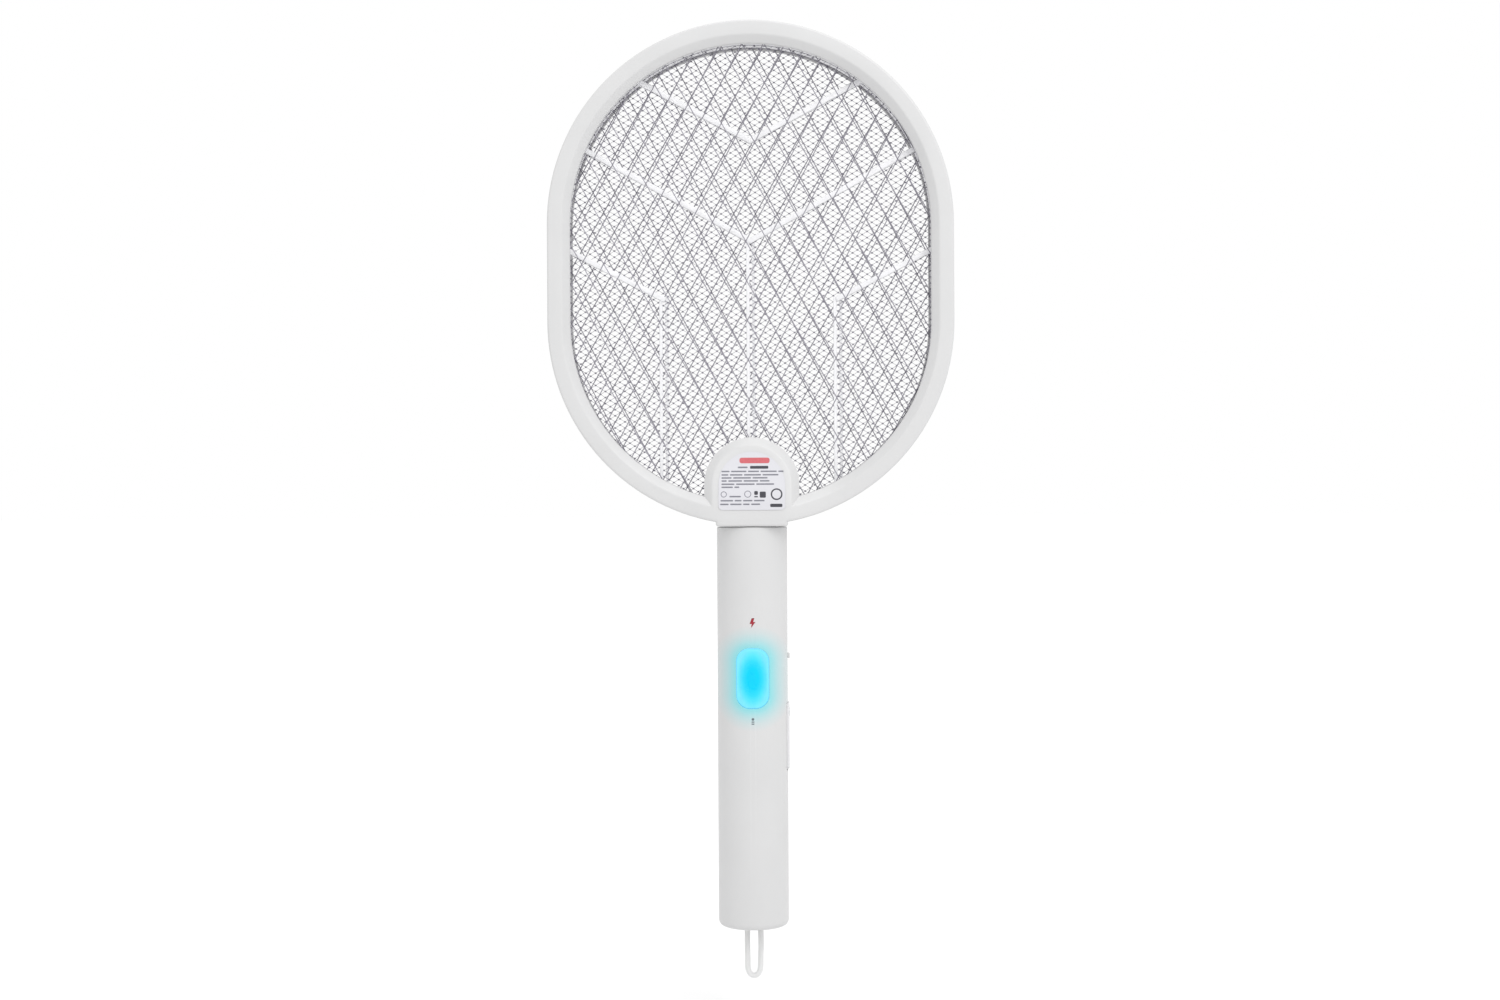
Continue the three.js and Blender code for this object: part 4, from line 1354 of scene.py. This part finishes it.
class SwatterRatingLabel(bpy.types.Operator):
    """The printed film on the boss, with plain bars and rings in place of any lettering"""

    bl_idname = "swatter.rating_label"
    bl_label = "Rating label"

    def execute(self, context):
        f = finishes()
        shape = arc(0, head().boss_arc, 16.4 * MM, 0, 180, 48)
        base = 106.6 * MM
        shape += arc(-14.4 * MM, base + 2 * MM, 2 * MM, 180, 270, 6)
        shape += arc(14.4 * MM, base + 2 * MM, 2 * MM, 270, 360, 6)
        film = prism(shape, LABEL_SURFACE, LABEL_SURFACE + 0.17 * MM)
        material = moulded("label_film", f.label, 0.38, 900, 0.05)
        stick_on(film, "label_film", material, ["rating_label"])

        accent = bar((-6.0, 129.6), (8.9, 132.4), 1.1)
        stick_on(accent, "label_accent", printed("accent_ink", f.accent))

        light = fine_print() + [bar((-6.8, 127.2), (-2.0, 128.0), 0.3)]
        light += [ring_print((-13.8, 114.3), 1.5, 1.15), ring_print((-2.0, 114.4), 1.7, 1.35)]
        stick_on(join("label_print", light), "label_print", printed("grey_ink", f.ink))

        bold = [bar((-0.8, 126.9), (8.2, 128.3), 0.4), bar((1.2, 112.8), (3.0, 113.4), 0.2)]
        bold += [bar((1.2, 114.0), (3.0, 115.9), 0.5), bar((3.9, 112.6), (6.9, 115.6), 0.5)]
        bold += [ring_print((12.2, 114.3), 2.9, 2.2), bar((9.0, 108.0), (15.0, 109.6), 0.5)]
        stick_on(join("label_bold", bold), "label_bold", printed("dark_ink", (0.03, 0.03, 0.04)))
        return {"FINISHED"}


# ---------------------------------------------------------------- the hanging loop


LOOP_ROUTE_MM = [
    (-3.2, -94.3), (-3.2, -97.5), (-3.25, -101), (-3.3, -105), (-3.35, -109), (-3.3, -113),
    (-3.2, -117), (-3.2, -120.4), (-3.05, -122.8), (-2.35, -124.7), (-1.25, -125.8), (0, -126.1),
    (1.25, -125.8), (2.35, -124.7), (3.05, -122.8), (3.25, -120.4), (3.3, -117), (3.45, -113),
    (3.5, -109), (3.4, -105), (3.25, -101), (3.2, -97.5), (3.2, -94.3),
]


def smooth_route(points, spacing):
    """A smooth curve through the points, cut into equal steps."""
    points = np.array(points, float)
    padded = np.vstack([2 * points[0] - points[1], points, 2 * points[-1] - points[-2]])
    dense = []
    for a, b, c, d in zip(padded, padded[1:], padded[2:], padded[3:]):
        for t in np.linspace(0, 1, 24, endpoint=False):
            dense.append(
                b + 0.5 * t * (c - a + t * (2 * a - 5 * b + 4 * c - d + t * (3 * (b - c) + d - a)))
            )
    dense = np.array(dense + [points[-1]])
    run = np.concatenate([[0], np.cumsum(np.linalg.norm(np.diff(dense, axis=0), axis=1))])
    marks = np.linspace(0, run[-1], round(run[-1] / spacing) + 1)
    return np.column_stack([np.interp(marks, run, dense[:, i]) for i in range(dense.shape[1])]), marks


def braided_cord(name, flat, marks):
    """A cord round a path in X and Z, whose surface rises where its strands cross."""
    radius, relief, sides, strands, lay = 1.33 * MM, 0.07 * MM, 48, 8, 1.5 * MM
    path = np.column_stack([flat[:, 0], np.zeros(len(flat)), flat[:, 1]])
    along = np.gradient(path, axis=0)
    along /= np.linalg.norm(along, axis=1)[:, None]
    side = np.column_stack([-along[:, 2], np.zeros(len(along)), along[:, 0]])
    turns = np.arange(sides) / sides
    phase = strands * turns[None, :], marks[:, None] / lay
    weave = [np.sin(2 * math.pi * (phase[0] + lean * phase[1])) for lean in (1, -1)]
    thick = radius + relief * np.maximum(*weave)
    out = side[:, None, :] * np.cos(2 * math.pi * turns)[None, :, None]
    out = out + np.array([0, 1.0, 0]) * np.sin(2 * math.pi * turns)[None, :, None]
    corners = (path[:, None, :] + out * thick[:, :, None]).reshape(-1, 3)
    rings = len(path)
    faces, places = [], []
    for i in range(rings - 1):
        for j in range(sides):
            k = (j + 1) % sides
            faces.append((i * sides + j, (i + 1) * sides + j, (i + 1) * sides + k, i * sides + k))
            u0, u1 = strands * j / sides, strands * (j + 1) / sides
            v0, v1 = marks[i] / lay, marks[i + 1] / lay
            places += [(u0, v0), (u0, v1), (u1, v1), (u1, v0)]
    faces.append(tuple(range(sides)))
    faces.append(tuple((rings - 1) * sides + j for j in reversed(range(sides))))
    places += [(0, 0)] * (2 * sides)
    mesh = bpy.data.meshes.new(name)
    mesh.from_pydata(corners.tolist(), [], faces)
    layer = mesh.uv_layers.new(name="cord")
    layer.data.foreach_set("uv", np.array(places, float).ravel())
    return new_piece(name, mesh), path


class SwatterHangingLoop(bpy.types.Operator):
    """The round braided cord that leaves the handle's end and goes back into it"""

    bl_idname = "swatter.hanging_loop"
    bl_label = "Hanging loop"

    def execute(self, context):
        flat, marks = smooth_route([(x * MM, z * MM) for x, z in LOOP_ROUTE_MM], 0.25 * MM)
        loop, path = braided_cord("loop_braid", flat, marks)
        edit(loop)
        face_outwards()
        bpy.ops.object.shade_smooth()
        finish_piece(loop, "loop_braid", "handle", braid(finishes().cord), ["hanging_loop"])
        return {"FINISHED"}


# ---------------------------------------------------------------- the works inside


def dress(nodes, material):
    for name in nodes:
        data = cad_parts[name].data
        data.materials.clear()
        data.materials.append(material)


class SwatterInnerParts(bpy.types.Operator):
    """Finishes for the parts that the housing covers"""

    bl_idname = "swatter.inner_parts"
    bl_label = "Inner parts"

    def execute(self, context):
        brass = metal("brass", (0.72, 0.5, 0.22), 0.32, (1, 1, 1), 1200)
        nickel = metal("nickel", (0.55, 0.55, 0.53), 0.28, (1, 1, 6), 700)
        dark = moulded("black_plastic", (0.02, 0.02, 0.022), 0.45)
        board = moulded("board_laminate", (0.03, 0.16, 0.07), 0.42, 1800, 0.15)
        red = moulded("red_insulation", (0.5, 0.03, 0.03), 0.4)
        sleeve = moulded("blue_sleeve", (0.05, 0.14, 0.4), 0.3)
        tape = moulded("yellow_tape", (0.75, 0.55, 0.08), 0.35, 700, 0.1)
        slippery = moulded("acetal", (0.72, 0.72, 0.69), 0.3)
        glass = light_window("led_lens", (0.35, 0.6, 0.75), 0.3)
        alarm = light_window("alarm_lens", (0.5, 0.1, 0.12), 0.3)
        pale = moulded("inner_plastic", finishes().shell, 0.5)
        dress([f"{side}_mesh_terminal" for side in ("front", "centre", "rear")], brass)
        dress(["battery_tab_upper", "battery_tab_lower"], nickel)
        dress(["tact_switch", "switch_plunger", "slide_switch_body", "driver_transistor"], dark)
        dress(["multiplier_diode_1", "multiplier_diode_2", "multiplier_diode_3"], dark)
        dress([f"{side}_mesh_lead" for side in ("front", "centre", "rear")], red)
        dress(["output_lead_outer", "output_lead_centre", "battery_lead_positive"], red)
        dress(["battery_lead_negative"], dark)
        dress(["battery_cell"], sleeve)
        dress(["step_up_transformer", "storage_capacitor"], tape)
        dress(["swivel_spigot", "swivel_washer"], slippery)
        dress(["button_led_upper", "button_led_lower"], glass)
        dress(["indicator_led"], alarm)
        dress(["usb_socket"], nickel)
        dress(["battery_cradle", "loop_anchor"], pale)
        dress(["main_board"], board)
        return {"FINISHED"}


# ---------------------------------------------------------------- floor, light and camera


class SwatterStage(bpy.types.Operator):
    """Pale floor, plain soft light and the camera in front of the head and grip"""

    bl_idname = "swatter.stage"
    bl_label = "Stage"

    def execute(self, context):
        s = stage()
        lens = bpy.data.cameras.new("front_camera")
        lens.lens, lens.sensor_width = s.lens, 36
        lens.clip_start, lens.clip_end = 0.01, 100
        camera = new_piece("front_camera", lens)
        place = Matrix.Translation((-0.9 * MM, -s.distance, s.height))
        upright = Matrix.Rotation(math.pi / 2, 4, "X")
        camera.matrix_world = place @ upright @ Matrix.Rotation(-s.roll, 4, "Z")
        context.scene.camera = camera

        deselect_all()
        bpy.ops.mesh.primitive_plane_add(size=60, location=(0, 0, -150 * MM))
        floor = bpy.context.object
        floor.name = "floor"
        place_in_mesh(floor)
        # Painted shade: the floor is darker within about 0.6 m of the middle and paler further off, which
        # dims the light it throws back up at the swatter; a faint glow keeps it white.
        n = Nodes("floor_paint")
        far = n.add("ShaderNodeVectorMath", operation="LENGTH")
        n.link(n.coords, far.inputs[0])
        n.set(
            Base_Color=n.ramp(n.span(far.outputs["Value"], 0.6, 2.5, 0, 1), [
                (0.0, (0.77, 0.77, 0.77)), (1.0, (0.93, 0.93, 0.93)),
            ]),
            Roughness=0.9, Specular_IOR_Level=0.0, Emission_Color=(1.0, 1.0, 1.0), Emission_Strength=0.1,
        )
        floor.data.materials.append(n.material)

        world = bpy.data.worlds.new("white_room")
        context.scene.world = world
        world.use_nodes = True
        sky = world.node_tree.nodes["Background"].inputs
        sky["Color"].default_value = (1, 1, 1, 1)
        sky["Strength"].default_value = s.sky
        add_lamp("key_lamp", (0.9, -1.7, 1.75), (0, 0, 0.15), 1.8, s.key)
        add_lamp("top_lamp", (0, -0.45, 3.2), (0, 0, 0.15), 2.4, s.top)
        context.scene.view_settings.view_transform = "Standard"
        return {"FINISHED"}


def add_lamp(name, place, target, size, power):
    lamp = bpy.data.lights.new(name, "AREA")
    lamp.shape, lamp.size, lamp.energy = "DISK", size, power
    lamp_object = new_piece(name, lamp)
    aim = (Vector(target) - Vector(place)).to_track_quat("-Z", "Y")
    lamp_object.matrix_world = Matrix.Translation(place) @ aim.to_matrix().to_4x4()


# ---------------------------------------------------------------- panel and registration


SETTINGS = {
    "swatter_head": HeadSizes, "swatter_wires": WireSizes, "swatter_handle": HandleSizes,
    "swatter_finishes": Finishes, "swatter_stage": StageSettings,
}

STEPS = [
    SwatterStage, SwatterHangingLoop, SwatterFrontFrame, SwatterRearFrame, SwatterRibWebs,
    SwatterOuterMeshes, SwatterCentreMesh, SwatterRatingLabel, SwatterFrontShell, SwatterRearShell,
    SwatterPowerButton, SwatterIndicator, SwatterPortCover, SwatterSlideKnob, SwatterScrews,
    SwatterInnerParts,
]


class SWATTER_PT_panel(bpy.types.Panel):
    """Lists the sizes, the finishes and the steps that build the swatter"""

    bl_label = "Swatter"
    bl_idname = "SWATTER_PT_panel"
    bl_space_type = "VIEW_3D"
    bl_region_type = "UI"
    bl_category = "Swatter"

    def draw(self, context):
        for step in STEPS:
            self.layout.operator(step.bl_idname)
        for name, group in SETTINGS.items():
            box = self.layout.box()
            box.label(text=group.__name__)
            for key in group.__annotations__:
                box.prop(getattr(context.scene, name), key)


CLASSES = [*SETTINGS.values(), *STEPS, SWATTER_PT_panel]


def register():
    for cls in CLASSES:
        bpy.utils.register_class(cls)
    for name, group in SETTINGS.items():
        setattr(bpy.types.Scene, name, bpy.props.PointerProperty(type=group))


def unregister():
    for name in SETTINGS:
        delattr(bpy.types.Scene, name)
    for cls in reversed(CLASSES):
        bpy.utils.unregister_class(cls)


def main():
    register()
    for step in STEPS:
        group, name = step.bl_idname.split(".")
        getattr(getattr(bpy.ops, group), name)()


if __name__ == "__main__":
    main()
